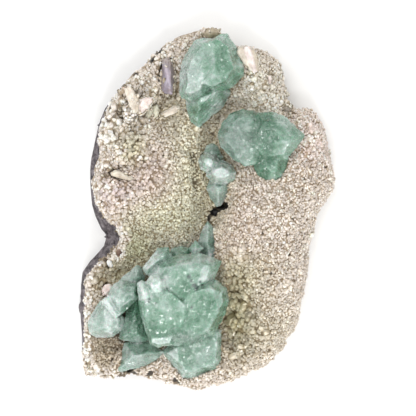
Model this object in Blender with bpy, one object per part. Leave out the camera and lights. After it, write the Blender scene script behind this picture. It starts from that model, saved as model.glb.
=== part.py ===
"""Apophyllite with heulandite: green crystals on a druse-covered slab of basalt.

The slab lies on its sawn underside. Lengths are in millimetres until mesh_object()
turns them into metres. X runs across the slab, Y along it and Z up from the table.
"""

import math
from typing import NamedTuple

import bmesh
import bpy
import numpy as np
from mathutils import Vector, noise
from mathutils.geometry import delaunay_2d_cdt

MM = 0.001
CENTRE = (1.17, 0.285, 0.0)  # moves the middle of the slab's box to the origin, mm

# ---- driving dimensions, mm -------------------------------------------------------
SPOKES = 96  # points round the slab's outline
TOUCH_GAP = 0.35  # air left between one mineral and the next
SHOULDER_FREE, SHOULDER_WRAPPED = 15.5, 12.0  # height of the basalt's upper edge
RIM_FREE, RIM_WRAPPED = 17.5, 14.5  # height of the crust's widest line
LIP_FREE, LIP_WRAPPED = 13.0, 4.5  # how low the crust reaches down the side
EDGE_FREE, EDGE_WRAPPED = 3.5, 5.0  # from the crust's rim in to the basalt's edge
ROUND_FREE, ROUND_WRAPPED = 6.0, 12.0  # how far in the crust's edge is rounded over
CRUST_FLOOR = 17.0  # the deepest the crust's surface goes
CRUST_LEVEL = 23.0  # its general level, before lobes and hollows
LUMP_HEIGHT, LUMP_SIZE = 1.7, 5.5  # drusy lumps on the crust
CHIP_HEIGHT, CHIP_SIZE = 1.3, 9.0  # broken faces of the basalt
BASALT_SAG, BASALT_SAG_REACH = 2.5, 12.0  # the basalt's top sinks this far inwards
SMALLEST_EDGE = 0.4  # shorter edges of a crystal close up
ROOT = 14.5  # height of the big crystals' feet, inside the crust
FINE, COARSE = 3.9, 10.0  # spacing of the points on the crust, and under it

# The crust's rim, anticlockwise: x, y, and how far the basalt's foot stands out
# beyond it. Where the foot is drawn in, the crust wraps over the slab's side.
RIM = (
    (47.8, -3.1, -6), (51.8, 3.1, -6), (55.8, 9.7, -7), (55.8, 15.5, -7),
    (53.2, 22.2, -6), (52.3, 29.7, -6), (50.5, 36.8, -6), (44.7, 43.0, -5),
    (39.4, 43.4, -5), (34.6, 45.2, -5), (34.6, 50.1, -5), (31.5, 56.3, -5),
    (31.5, 62.9, -5), (27.5, 67.8, -5), (20.8, 70.8, -5), (13.5, 71.2, -5),
    (9.5, 70.6, -5), (5.6, 74.1, -4), (1.8, 77.8, -4), (-3.5, 79.2, -3),
    (-8.9, 78.1, -3), (-15.1, 75.2, -2), (-21.3, 71.0, 0), (-26.6, 65.7, 0.5),
    (-32.8, 59.1, 1.0), (-39.9, 51.4, 1.5), (-44.6, 45.0, 2.0), (-47.2, 38.5, 2.2),
    (-49.1, 30.2, 2.4), (-48.5, 25.8, 3.9), (-48.9, 21.3, 4.5), (-50.2, 16.9, 3.6),
    (-51.6, 12.4, 2.2), (-51.1, 8.0, 2.3), (-50.7, 3.6, 2.7), (-48.9, -0.9, 3.3),
    (-46.0, -5.5, 4.8), (-40.8, -9.4, 6.6), (-39.1, -12.8, 8.4), (-40.0, -16.4, 7.2),
    (-43.6, -21.0, 5.2), (-48.4, -24.8, 4.0), (-52.5, -27.8, 3.0), (-54.7, -31.0, 2.8),
    (-55.1, -36.5, 2.8), (-55.1, -45.4, 3.1), (-55.7, -52.0, 2.3), (-55.2, -58.7, 2.2),
    (-54.6, -66.7, 2.7), (-54.0, -73.2, 1.6), (-47.8, -74.6, 0.6), (-39.9, -74.6, 0.4),
    (-32.3, -74.6, 0.4), (-24.8, -75.4, -1), (-17.7, -77.6, -2), (-11.1, -79.4, -3),
    (-3.5, -80.6, -4), (1.8, -78.6, -4), (8.9, -77.6, -4), (15.1, -74.4, -4),
    (22.2, -71.2, -4), (29.7, -65.9, -5), (33.7, -60.1, -5), (37.7, -53.9, -5),
    (40.8, -45.8, -5), (42.1, -37.0, -5), (43.9, -28.1, -5), (44.3, -20.0, -5),
    (46.5, -10.2, -6),
)

# Lobes, knobs and hollows of the crust: x, y, half-widths across and along, turn in
# degrees, and height.
SWELLS = (
    (26.0, -22.0, 17.0, 40.0, -4, 12.0),  # the long dome on the right
    (42.0, 19.0, 10.0, 15.0, 0, 6.0),  # its shoulder at the far edge
    (44.0, 36.0, 6.0, 5.0, 0, 5.0),  # a knob on the shoulder
    (-25.0, 8.0, 19.0, 18.0, 0, 9.0),  # the dome on the left
    (-15.0, -13.0, 13.0, 6.0, 8, 4.0),  # the left dome's front lip
    (23.0, 55.0, 11.0, 10.0, 0, 6.0),  # the knoll behind, on the right
    (-42.0, 30.0, 6.0, 7.0, 0, 4.5),  # knobs along the left rim
    (-44.0, 4.0, 5.0, 8.0, 0, 4.0),
    (-33.0, 55.0, 9.0, 5.0, 48, 4.0),  # the ridge behind the fan of blades
    (-12.0, 72.0, 9.0, 4.0, -15, 3.0),
    (-46.0, -65.0, 8.0, 7.0, 0, 3.0),  # the front left corner
    (-16.0, 50.0, 6.0, 12.0, 0, -7.0),  # hollow round the lilac prism
    (-30.0, 38.0, 8.0, 6.0, 20, -4.0),  # hollow under the fan of blades
    (-27.0, -46.0, 23.0, 17.0, 0, -8.0),  # pocket under the rosette
    (2.0, 11.0, 5.0, 19.0, -11, -15.0),  # the cleft between the domes
    (-1.0, -9.0, 3.6, 11.0, -35, -12.0),  # the cleft's open mouth
    (13.0, 42.0, 14.0, 5.0, 35, -7.0),  # valley behind the green pair
    (27.0, 24.0, 12.0, 11.0, 0, -7.0),  # hollow under the green pair
    (9.0, -55.0, 6.0, 15.0, 0, -9.0),  # trough right of the rosette
)


def smooth(t):
    """Eased step from 0 to 1."""
    t = np.clip(t, 0.0, 1.0)
    return t * t * (3 - 2 * t)


def rim_at_even_spacing():
    """Catmull-Rom curve through RIM, resampled at equal lengths, as (points, foot)."""
    knots = np.array(RIM, float)
    before, after = np.roll(knots, 1, 0), np.roll(knots, -1, 0)
    further = np.roll(knots, -2, 0)
    t = np.linspace(0, 1, 12, endpoint=False)[:, None, None]
    curve = 0.5 * (
        2 * knots
        + (after - before) * t
        + (2 * before - 5 * knots + 4 * after - further) * t**2
        + (3 * knots - before - 3 * after + further) * t**3
    )
    curve = curve.transpose(1, 0, 2).reshape(-1, 3)
    curve = np.vstack((curve, curve[:1]))
    steps = np.linalg.norm(np.diff(curve[:, :2], axis=0), axis=1)
    along = np.concatenate(((0,), np.cumsum(steps)))
    even = np.linspace(0, along[-1], SPOKES, endpoint=False)
    x, y, foot = (np.interp(even, along, curve[:, k]) for k in range(3))
    return np.stack((x, y), axis=1), foot


def outward(points):
    """Unit normals of a closed anticlockwise outline."""
    tangent = np.roll(points, -1, 0) - np.roll(points, 1, 0)
    normal = np.stack((tangent[:, 1], -tangent[:, 0]), axis=1)
    return normal / np.linalg.norm(normal, axis=1, keepdims=True)


RIM_XY, FOOT_OUT = rim_at_even_spacing()
RIM_NORMAL = outward(RIM_XY)
WRAP = smooth(-FOOT_OUT / 4.0)  # 0 where basalt shows, 1 where the crust wraps over


def by_wrap(free, wrapped):
    """A value for each spoke, between the free side's and the wrapped side's."""
    return free + (wrapped - free) * WRAP


SHOULDER_Z = by_wrap(SHOULDER_FREE, SHOULDER_WRAPPED)
SHOULDER_XY = RIM_XY - RIM_NORMAL * by_wrap(EDGE_FREE, EDGE_WRAPPED)[:, None]
FOOT_XY = RIM_XY + RIM_NORMAL * FOOT_OUT[:, None]


def wobble(points, size, height, seed):
    """Perlin noise at points, of the given grain size and height."""
    shift = Vector((seed * 17.3, seed * 5.1, seed * 9.7))
    return np.array([noise.noise(Vector(p) / size + shift) * height for p in points])


def swell(x, y):
    """The crust's height over the slab: its level plus every lobe and hollow."""
    z = np.full(np.shape(x), CRUST_LEVEL)
    for cx, cy, across, along, turn, height in SWELLS:
        c, s = math.cos(math.radians(turn)), math.sin(math.radians(turn))
        u = ((x - cx) * c + (y - cy) * s) / across
        v = ((y - cy) * c - (x - cx) * s) / along
        z = z + height * np.exp(-0.5 * (u * u + v * v))
    over = z - CRUST_FLOOR
    return CRUST_FLOOR + 0.5 * (over + np.sqrt(over * over + 4.0))


def with_z(xy, z):
    return np.column_stack((xy, np.broadcast_to(z, len(xy))))


def to_rim(xy):
    """(distance in from the rim, its spoke) for each point."""
    apart = np.linalg.norm(xy[:, None] - RIM_XY[None], axis=2)
    nearest = apart.argmin(axis=1)
    inward = ((RIM_XY - xy[:, None]) * RIM_NORMAL).sum(axis=2)
    return inward[np.arange(len(xy)), nearest], nearest


def crust_surface(xy, lift=0.0):
    """Points on the crust's upper side, rounded over at its edge."""
    depth, spoke = to_rim(xy)
    reach = by_wrap(ROUND_FREE, ROUND_WRAPPED)[spoke]
    arch = np.sqrt(1 - (1 - np.clip(depth / reach, 0, 1)) ** 2)
    rim_z = by_wrap(RIM_FREE, RIM_WRAPPED)[spoke]
    points = with_z(xy, rim_z + (swell(xy[:, 0], xy[:, 1]) - rim_z) * arch)
    points[:, 2] += wobble(points, LUMP_SIZE, LUMP_HEIGHT, 1) * (0.3 + 0.7 * arch)
    points[:, 2] += lift
    return points


def crust_edge(lift=0.0):
    """Rings of points from just inside the crust's rim, over it, to its lip."""
    rows = [crust_surface(RIM_XY - RIM_NORMAL * inset, lift) for inset in (2.2, 0.7)]
    rim_z, lip_z = by_wrap(RIM_FREE, RIM_WRAPPED), by_wrap(LIP_FREE, LIP_WRAPPED)
    tuck = by_wrap(0.6, 1.6)
    for down in (0.0, 0.33, 0.66, 1.0):
        xy = RIM_XY - RIM_NORMAL * (tuck * down**1.6)[:, None]
        row = with_z(xy, rim_z + (lip_z - rim_z) * down)
        row[:, :2] += RIM_NORMAL * wobble(row, LUMP_SIZE, 0.6, 2)[:, None]
        rows.append(row)
    return rows


def basalt_side(z_share):
    """The slab's side, from its shoulder (1) down to its foot (0)."""
    xy = FOOT_XY + (SHOULDER_XY - FOOT_XY) * z_share
    row = with_z(xy, SHOULDER_Z * z_share)
    if 0 < z_share < 0.8:
        row[:, :2] += RIM_NORMAL * wobble(row, CHIP_SIZE, CHIP_HEIGHT, 3)[:, None]
    return row


def inner_points(outline, spacing):
    """Points of a triangular grid that lie inside an outline, clear of its edge."""
    x0, y0 = outline.min(axis=0)
    x1, y1 = outline.max(axis=0)
    found = []
    for row, y in enumerate(np.arange(y0, y1, spacing * math.sqrt(0.75))):
        shift = spacing / 2 * (row % 2)
        found += [(x, y) for x in np.arange(x0 + shift, x1, spacing)]
    found = np.array(found)
    found += np.random.default_rng(7).uniform(-0.3, 0.3, found.shape) * spacing
    gap = outline[None] - found[:, None]
    near = np.linalg.norm(gap, axis=2).min(axis=1)
    turn = np.arctan2(gap[..., 1], gap[..., 0])
    steps = np.diff(np.column_stack((turn, turn[:, :1])), axis=1)
    winding = ((steps + math.pi) % (2 * math.pi) - math.pi).sum(axis=1)
    return found[(np.abs(winding) > math.pi) & (near > spacing * 0.6)]


def cap(mesh, loop, inner, surface, upwards):
    """Closes a ring of vertices with triangles through inner points."""
    edge = np.array([v.co[:2] for v in loop])
    flat = [Vector(p) for p in np.vstack((edge, inner))]
    rim = [(k, (k + 1) % SPOKES) for k in range(SPOKES)]
    _, _, faces, origin, _, _ = delaunay_2d_cdt(flat, rim, [], 1, 1e-5)
    verts = list(loop) + [mesh.verts.new(p) for p in surface(inner)]
    for face in faces:
        corners = [verts[origin[k][0]] for k in face]
        mesh.faces.new(corners if upwards else corners[::-1])


def skin(rows, top, bottom):
    """A closed skin: rings of points, from the top one down, and a cap at each end."""
    mesh = bmesh.new()
    loops = [[mesh.verts.new(p) for p in row] for row in rows]
    for upper, lower in zip(loops, loops[1:]):
        for i in range(SPOKES):
            j = (i + 1) % SPOKES
            mesh.faces.new((upper[i], lower[i], lower[j]))
            mesh.faces.new((upper[i], lower[j], upper[j]))
    cap(mesh, loops[0], *top, upwards=True)
    cap(mesh, loops[-1], *bottom, upwards=False)
    return mesh


def mesh_object(name, mesh, material, helper=False):
    """A scene object from a bmesh in millimetres. A helper isn't part of the model."""
    bmesh.ops.translate(mesh, vec=CENTRE, verts=mesh.verts)
    bmesh.ops.scale(mesh, vec=(MM, MM, MM), verts=mesh.verts)
    data = bpy.data.meshes.new(name)
    mesh.to_mesh(data)
    mesh.free()
    made = bpy.data.objects.new(name, data)
    bpy.context.scene.collection.objects.link(made)
    if material:
        data.materials.append(material)
    if helper:
        made.hide_render = True
        made.display_type = "WIRE"
    return made


def material(name, colour, roughness, transmission=0.0, ior=1.5):
    made = bpy.data.materials.new(name)
    made.use_nodes = True
    shader = made.node_tree.nodes["Principled BSDF"]
    shader.inputs["Base Color"].default_value = (*colour, 1.0)
    shader.inputs["Roughness"].default_value = roughness
    shader.inputs["Metallic"].default_value = 0.0
    shader.inputs["IOR"].default_value = ior
    shader.inputs["Transmission Weight"].default_value = transmission
    return made


UNDER_CRUST = inner_points(SHOULDER_XY, COARSE)


def basalt_top(xy, lift=0.0):
    """The basalt's upper side: it sinks from its shoulder to a low middle."""
    apart = np.linalg.norm(xy[:, None] - SHOULDER_XY[None], axis=2)
    weight = 1 / (apart**2 + 1)
    level_with = (weight * SHOULDER_Z).sum(axis=1) / weight.sum(axis=1)
    sunk = BASALT_SAG * smooth(apart.min(axis=1) / BASALT_SAG_REACH)
    return with_z(xy, level_with - sunk + lift)


def basalt_matrix(stone):
    """The dark slab: broken sides, and a sawn face to rest on."""
    rows = [basalt_side(share) for share in (1.0, 0.65, 0.3, 0.0)]
    sawn = (np.empty((0, 2)), lambda xy: with_z(xy, 0.0))
    mesh = skin(rows, (UNDER_CRUST, basalt_top), sawn)
    return mesh_object("basalt_matrix", mesh, stone)


def heulandite_crust(druse):
    """The druse: an uneven cap that stands clear of the basalt by TOUCH_GAP."""
    rows = crust_edge()
    lip_z = rows[-1][:, 2]
    share = lip_z / SHOULDER_Z
    wall = FOOT_XY + (SHOULDER_XY - FOOT_XY) * share[:, None]
    clear = RIM_NORMAL * (TOUCH_GAP + CHIP_HEIGHT * 0.5 * WRAP)[:, None]
    rows.append(with_z(wall + clear, lip_z))
    rows.append(with_z(SHOULDER_XY + RIM_NORMAL * TOUCH_GAP, SHOULDER_Z + TOUCH_GAP))
    above = (inner_points(rows[0][:, :2], FINE), crust_surface)
    below = (UNDER_CRUST, lambda xy: basalt_top(xy, TOUCH_GAP))
    return mesh_object("heulandite_crust", skin(rows, above, below), druse)


class Crystal(NamedTuple):
    """A crystal cut by flat faces. Seen from above its widest line, or girdle, is the
    outline, in anticlockwise corners. Faces rise inwards from each edge at `rise`
    degrees and fall inwards below it at `fall`, `top` is the height of the basal face
    at the middle, and the leans are how much the girdle and the basal face climb
    along x and along y. The root is the height of its foot, inside the crust."""

    outline: tuple
    girdle: float
    top: float
    rise: float = 55
    fall: float = 76
    lean: tuple = (0.0, 0.0)
    top_lean: tuple = (0.0, 0.0)
    root: float = ROOT


def level(middle, height, lean, point):
    """A leaning plane's height over a point."""
    return height + sum(g * (p - m) for g, p, m in zip(lean, point, middle))


def faces_of(one):
    """(point, outward normal) of every face of a Crystal."""
    middle = [sum(axis) / len(one.outline) for axis in zip(*one.outline)]
    corners = [Vector((*p, level(middle, one.girdle, one.lean, p))) for p in one.outline]
    up = Vector((0, 0, 1))
    for here, after in zip(corners, corners[1:] + corners[:1]):
        edge = (after - here).normalized()
        out = edge.cross(up).normalized()
        for slope, pole in ((one.rise, up), (one.fall, -up)):
            angle = math.radians(slope)
            normal = out * math.sin(angle) + pole * math.cos(angle)
            yield here, (normal - edge * normal.dot(edge)).normalized()
    yield Vector((*middle, one.top)), Vector((-one.top_lean[0], -one.top_lean[1], 1))
    yield Vector((*middle, one.root)), -up


def crystal(name, one, grow=0.0):
    """A Crystal as an object, cut from a block face by face."""
    mesh = bmesh.new()
    bmesh.ops.create_cube(mesh, size=400)
    for point, normal in faces_of(one):
        cut = bmesh.ops.bisect_plane(
            mesh,
            geom=mesh.verts[:] + mesh.edges[:] + mesh.faces[:],
            plane_co=point + normal * grow,
            plane_no=normal,
            clear_outer=True,
        )
        edges = [e for e in cut["geom_cut"] if isinstance(e, bmesh.types.BMEdge)]
        if edges:
            bmesh.ops.holes_fill(mesh, edges=edges)
    bmesh.ops.remove_doubles(mesh, verts=mesh.verts, dist=SMALLEST_EDGE)
    foot = min(v.co.z for v in mesh.verts)
    for v in mesh.verts:
        if v.co.z < foot + SMALLEST_EDGE:
            v.co.z = one.root - grow
    bmesh.ops.recalc_face_normals(mesh, faces=mesh.faces)
    bmesh.ops.triangulate(mesh, faces=mesh.faces)
    return mesh_object(name, mesh, None, helper=True)


def gather(name, things):
    """Moves helper objects to a collection of their own."""
    group = bpy.data.collections.new(name)
    bpy.context.scene.collection.children.link(group)
    for thing in things:
        bpy.context.scene.collection.objects.unlink(thing)
        group.objects.link(thing)
    return group


def combine(target, operation, group):
    """A Boolean modifier between an object and a collection."""
    modifier = target.modifiers.new(group.name, "BOOLEAN")
    modifier.operation = operation
    modifier.solver = "EXACT"
    modifier.operand_type = "COLLECTION"
    modifier.collection = group


def cluster(name, crystals, mineral):
    """Crystals grown together, as one solid."""
    first, *others = [crystal(f"{name}_{k}", one) for k, one in enumerate(crystals)]
    first.name = name
    first.hide_render = False
    first.display_type = "TEXTURED"
    first.data.materials.append(mineral)
    if others:
        combine(first, "UNION", gather(name + "_grown_together", others))
    return first


def socket(crust, name, crystals):
    """Cuts the crust away round the crystals' roots, TOUCH_GAP clear of them."""
    roots = [crystal(f"{name}_root_{k}", c, TOUCH_GAP) for k, c in enumerate(crystals)]
    combine(crust, "DIFFERENCE", gather(name + "_roots", roots))


def on_crust(outline, above, height, **shape):
    """A small crystal whose girdle stands this far above the crust below it."""
    middle = np.array(outline).mean(axis=0)
    ground = crust_surface(middle[None])[0, 2]
    return Crystal(outline, ground + above, ground + above + height, root=ground - 2.5, **shape)


ROSETTE = (
    Crystal(  # long prism, front left
        ((-52.7, -55.9), (-49.5, -58.0), (-42.0, -57.6), (-37.0, -54.2), (-36.6, -48.4),
         (-42.7, -39.2), (-47.9, -40.9), (-53.5, -50.6)),
        24, 40, rise=36, fall=70, lean=(0.1, 0.08), root=17.2),
    Crystal(  # block stepped on it
        ((-39.7, -47.6), (-37.9, -47.6), (-30.2, -38.6), (-32.1, -32.5), (-37.3, -31.5),
         (-41.2, -33.4), (-45.9, -40.1)),
        33, 39.5, rise=68, lean=(0.1, 0.1), top_lean=(0.1, 0.02)),
    Crystal(  # clear block behind it
        ((-39.3, -37.5), (-28.8, -34.9), (-27.1, -30.6), (-29.0, -25.6), (-31.2, -24.9),
         (-41.7, -34.2)),
        30, 36, rise=50, lean=(0.05, 0.05), top_lean=(0, 0.1)),
    Crystal(  # low, in their shade
        ((-38.0, -62.0), (-29.0, -62.9), (-24.0, -59.0), (-27.3, -47.4), (-32.6, -43.2),
         (-42.2, -56.6)),
        24, 30, fall=72, lean=(0.0, 0.15), top_lean=(-0.15, -0.1)),
    Crystal(  # towards the near corner
        ((-41.6, -72.6), (-38.1, -73.3), (-27.5, -70.4), (-21.8, -67.3), (-19.0, -63.8),
         (-25.0, -59.0), (-37.0, -59.6)),
        20.5, 28, rise=50, lean=(0.08, 0.12), top_lean=(-0.05, 0.12), root=16.6),
    Crystal(  # broad point, near edge
        ((-20.5, -64.0), (-11.2, -75.9), (-7.1, -76.1), (3.9, -71.4), (5.9, -68.0),
         (6.2, -54.0), (-1.3, -50.0), (-14.1, -57.0)),
        22, 33, rise=42, lean=(0.0, 0.12), top_lean=(0.1, 0.15)),
    Crystal(  # great crystal, left part
        ((-29.3, -51.5), (-25.8, -59.6), (-14.3, -60.9), (-8.7, -57.0), (-3.9, -42.1),
         (-6.9, -32.0), (-18.7, -29.9), (-27.1, -33.6), (-31.0, -40.8)),
        34, 47.5, rise=66, fall=74, lean=(0, 0.12), top_lean=(-0.1, -0.16)),
    Crystal(  # great crystal, right part
        ((-18.7, -46.9), (-16.5, -60.0), (-7.8, -60.7), (2.6, -55.9), (8.3, -46.2),
         (9.6, -40.5), (8.4, -35.2), (4.2, -31.3), (-1.3, -30.5), (-11.0, -33.4)),
        32, 44, rise=62, fall=70, lean=(0, 0.1), top_lean=(0.18, -0.05)),
    Crystal(  # pointed, upper right
        ((-18.5, -39.3), (-5.2, -38.6), (2.4, -32.0), (6.2, -23.3), (1.5, -21.3),
         (-4.1, -19.6), (-12.5, -20.3), (-23.1, -23.3), (-26.3, -29.3)),
        36, 44, rise=60, fall=70, top_lean=(0.05, 0.14)),
    Crystal(  # clear, upper left
        ((-26.8, -29.8), (-17.1, -24.2), (-15.3, -20.7), (-17.1, -17.1), (-21.6, -17.3),
         (-28.6, -26.3)),
        37, 43, fall=74, top_lean=(-0.1, 0.1)),
    Crystal(  # pale, at the crown
        ((-29.6, -40.0), (-26.0, -41.4), (-23.7, -38.4), (-24.1, -33.1), (-28.2, -30.9),
         (-31.1, -32.3)),
        43, 49.5, rise=62, fall=80, top_lean=(-0.3, -0.1)),
    Crystal(  # pale, beside it
        ((-25.1, -38.0), (-21.2, -38.6), (-18.1, -37.4), (-17.6, -30.8), (-20.4, -28.3),
         (-24.4, -28.7), (-27.0, -32.5)),
        45, 52, rise=62, fall=80, top_lean=(-0.1, 0.1)),
    Crystal(  # low step behind
        ((-12.2, -27.0), (-6.3, -24.6), (-7.7, -17.7), (-12.2, -16.4), (-16.3, -18.1),
         (-18.3, -25.0)),
        30, 35, top_lean=(0, 0.15)),
    Crystal(  # little square pyramid
        ((-5.6, -22.5), (-1.6, -17.9), (-5.6, -13.9), (-9.0, -18.1)),
        33, 45, rise=48, fall=84),
    Crystal(  # down in the cleft
        ((-3.5, -26.0), (3.5, -25.8), (5.5, -21.1), (2.2, -8.2), (-0.2, -5.6),
         (-2.6, -9.0), (-4.6, -15.1)),
        24, 31, rise=50, fall=80, top_lean=(0.1, 0.1)),
)
PAIR = (
    Crystal(  # left
        ((4.8, 26.5), (10.9, 20.1), (16.0, 17.4), (22.0, 18.5), (26.1, 26.1),
         (24.3, 37.4), (20.0, 42.4), (15.2, 42.9), (9.6, 40.7), (5.6, 36.4), (3.7, 30.4)),
        35, 42.5, rise=57, fall=68, top_lean=(0.15, -0.1)),
    Crystal(  # right
        ((17.4, 31.7), (18.3, 22.6), (23.5, 19.6), (33.9, 20.0), (38.0, 24.6),
         (42.3, 30.9), (33.9, 39.1), (28.7, 41.6), (20.3, 41.0)),
        36, 43.5, rise=55, fall=68, top_lean=(-0.1, 0.15)),
    Crystal(  # front
        ((21.3, 14.0), (25.6, 10.9), (29.3, 10.2), (33.3, 12.5), (35.7, 20.8),
         (33.3, 26.4), (21.0, 26.4), (18.3, 21.0)),
        33, 39, rise=55, fall=72, lean=(0, 0.05), top_lean=(0, 0.2)),
)
TRIO = (
    Crystal(  # back
        ((-1.5, 19.0), (4.5, 18.4), (7.2, 22.0), (4.2, 27.0), (2.2, 28.3), (-0.6, 27.3),
         (-2.2, 24.2)),
        24, 29, rise=50, fall=80, top_lean=(-0.1, 0.1)),
    Crystal(  # middle
        ((-1.8, 13.1), (2.6, 9.7), (8.5, 9.7), (12.2, 12.0), (12.6, 15.1), (9.2, 19.8),
         (3.9, 24.0), (-0.6, 24.3), (-4.6, 20.1)),
        27, 35, rise=55, top_lean=(-0.1, -0.25)),
    Crystal(  # front
        ((0.0, 5.1), (3.8, -0.7), (6.3, 1.0), (10.8, 8.6), (10.2, 13.0), (0.7, 12.6),
         (-0.9, 8.0)),
        22, 30, rise=50, fall=78, lean=(0, 0.1), top_lean=(0, 0.1)),
)
TOP_GROUP = (
    Crystal(  # left, frosted
        ((-12.7, 57.9), (-12.7, 50.0), (-11.9, 46.8), (-7.6, 46.0), (-1.8, 47.5),
         (3.5, 54.0), (7.8, 64.4), (3.9, 73.1), (-2.2, 73.7), (-6.0, 72.6), (-11.5, 63.5)),
        33, 42.5, rise=60, fall=72, top_lean=(0.14, -0.1)),
    Crystal(  # right, darker
        ((-1.7, 60.1), (1.7, 49.3), (10.4, 51.4), (15.8, 57.3), (15.9, 61.2),
         (12.5, 69.9), (8.6, 75.7), (5.5, 75.6), (0.0, 71.8)),
        32, 41, rise=58, fall=70, top_lean=(-0.18, 0.05)),
    Crystal(  # front, striated
        ((-8.7, 38.2), (-5.8, 35.5), (-3.7, 34.7), (6.8, 43.8), (10.3, 49.6),
         (9.9, 54.6), (1.8, 55.4), (-8.0, 51.9), (-10.1, 45.7)),
        26, 36.5, fall=72, lean=(-0.05, 0.12), top_lean=(0.1, 0.3)),
)
APOPHYLLITE = {
    "apophyllite_rosette": ROSETTE,
    "apophyllite_pair": PAIR,
    "apophyllite_trio": TRIO,
    "apophyllite_top_group": TOP_GROUP,
}
STILBITE = {
    "stilbite_lilac_prism": (
        on_crust(((-21.1, 49.4), (-19.5, 48.3), (-14.6, 50.0), (-14.6, 63.8),
                  (-16.2, 65.9), (-21.1, 64.0)),
                 5.0, 3.0, rise=50, fall=85, top_lean=(0, 0.05)),
    ),
    "stilbite_fan": (
        on_crust(((-35.1, 44.4), (-31.6, 43.5), (-29.2, 45.7), (-33.6, 53.0),
                  (-37.1, 52.7), (-39.3, 49.2)),
                 4.0, 4.0, rise=50, fall=80, lean=(0, 0.3), top_lean=(0, 0.4)),
        on_crust(((-32.4, 41.3), (-29.4, 40.5), (-26.4, 43.0), (-25.3, 46.9),
                  (-27.2, 48.9), (-34.6, 46.2)),
                 6.0, 4.0, rise=50, fall=80),
        on_crust(((-36.2, 35.3), (-34.0, 35.0), (-31.4, 39.3), (-30.9, 44.4),
                  (-34.0, 46.6), (-38.8, 40.6)),
                 2.0, 4.0, rise=60, fall=80, lean=(0, 0.2), top_lean=(0.1, 0.3)),
    ),
    "stilbite_blades": (
        on_crust(((-24.9, 39.4), (-22.3, 38.6), (-20.0, 41.4), (-21.0, 45.1),
                  (-24.2, 46.2), (-25.7, 45.0)),
                 3.0, 4.0, rise=55, fall=82),
        on_crust(((-22.0, 38.2), (-16.7, 39.0), (-12.8, 41.4), (-11.9, 43.6),
                  (-13.6, 45.3), (-22.2, 41.6)),
                 3.0, 4.0, rise=50, fall=82),
    ),
    "stilbite_far_end": (
        on_crust(((-1.8, 71.0), (4.6, 71.5), (5.9, 74.7), (4.8, 77.9), (1.8, 79.6),
                  (-0.5, 80.0), (-3.1, 77.9), (-3.6, 74.0)),
                 3.0, 5.0, rise=50, fall=76),
    ),
    "stilbite_sheaf": (
        on_crust(((17.0, 58.8), (19.0, 55.0), (20.8, 57.5), (21.4, 63.0), (20.5, 69.3),
                  (17.0, 71.0), (14.2, 70.6), (15.2, 66.5)),
                 3.5, 4.0, fall=82, top_lean=(-0.1, 0.1)),
    ),
    "stilbite_stub": (
        on_crust(((26.4, 52.1), (28.9, 53.0), (29.4, 59.3), (28.1, 61.2), (26.0, 60.6),
                  (25.3, 56.2)),
                 2.0, 3.0, rise=50, fall=84),
    ),
    "stilbite_brown": (
        on_crust(((33.6, 39.2), (36.9, 40.0), (38.1, 43.0), (36.1, 45.1), (33.0, 44.8),
                  (31.7, 42.0)),
                 2.5, 3.5, rise=50, fall=82),
    ),
    "stilbite_left_blade": (
        on_crust(((-42.7, 12.7), (-38.3, 10.9), (-32.6, 10.3), (-31.6, 12.6),
                  (-37.5, 16.1), (-41.5, 17.0), (-43.8, 15.2)),
                 2.5, 3.0, rise=45, fall=84),
    ),
    "stilbite_pink": (
        on_crust(((-46.7, -40.0), (-44.1, -40.1), (-42.0, -37.1), (-42.4, -34.3),
                  (-45.2, -33.3), (-47.1, -34.4), (-48.1, -36.7)),
                 3.5, 4.0, fall=82),
    ),
    "stilbite_oval": (
        on_crust(((-45.1, -26.3), (-43.5, -27.7), (-41.8, -27.1), (-41.6, -25.3),
                  (-43.3, -22.8), (-45.3, -22.4), (-46.1, -23.9)),
                 2.5, 3.0, rise=50, fall=82),
    ),
}


def clear_scene():
    for thing in list(bpy.data.objects):
        bpy.data.objects.remove(thing)


def main():
    clear_scene()
    stone = material("basalt", (0.16, 0.15, 0.155), 0.85)
    druse = material("heulandite", (0.62, 0.56, 0.46), 0.5)
    green = material("apophyllite", (0.33, 0.62, 0.44), 0.25, 0.5, 1.54)
    zeolite = material("stilbite", (0.66, 0.58, 0.53), 0.45)
    basalt_matrix(stone)
    crust = heulandite_crust(druse)
    for minerals, finish in ((APOPHYLLITE, green), (STILBITE, zeolite)):
        for name, crystals in minerals.items():
            cluster(name, crystals, finish)
            socket(crust, name, crystals)


main()
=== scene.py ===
"""Apophyllite with heulandite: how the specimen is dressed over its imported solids.

The crystals are solids of the kind "every point behind all of these flat faces". The
distance outside the faces is the largest of the distances in front of each one, growth
relief is added to it, several crystals grow together by taking the smallest, and the
surface is where that number is zero. The druse is some thirty thousand small tablets, each
a template's points, scaled, turned by a frame of three axes and moved to its seat:
point = seat + (template * size) @ axes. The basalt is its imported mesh, cut finer and
pushed along its normals by noise. Lengths are in millimetres until piece() makes a mesh.
"""
import itertools
import math
from typing import NamedTuple

import bpy
import numpy as np
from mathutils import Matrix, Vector
from mathutils.bvhtree import BVHTree


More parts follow.
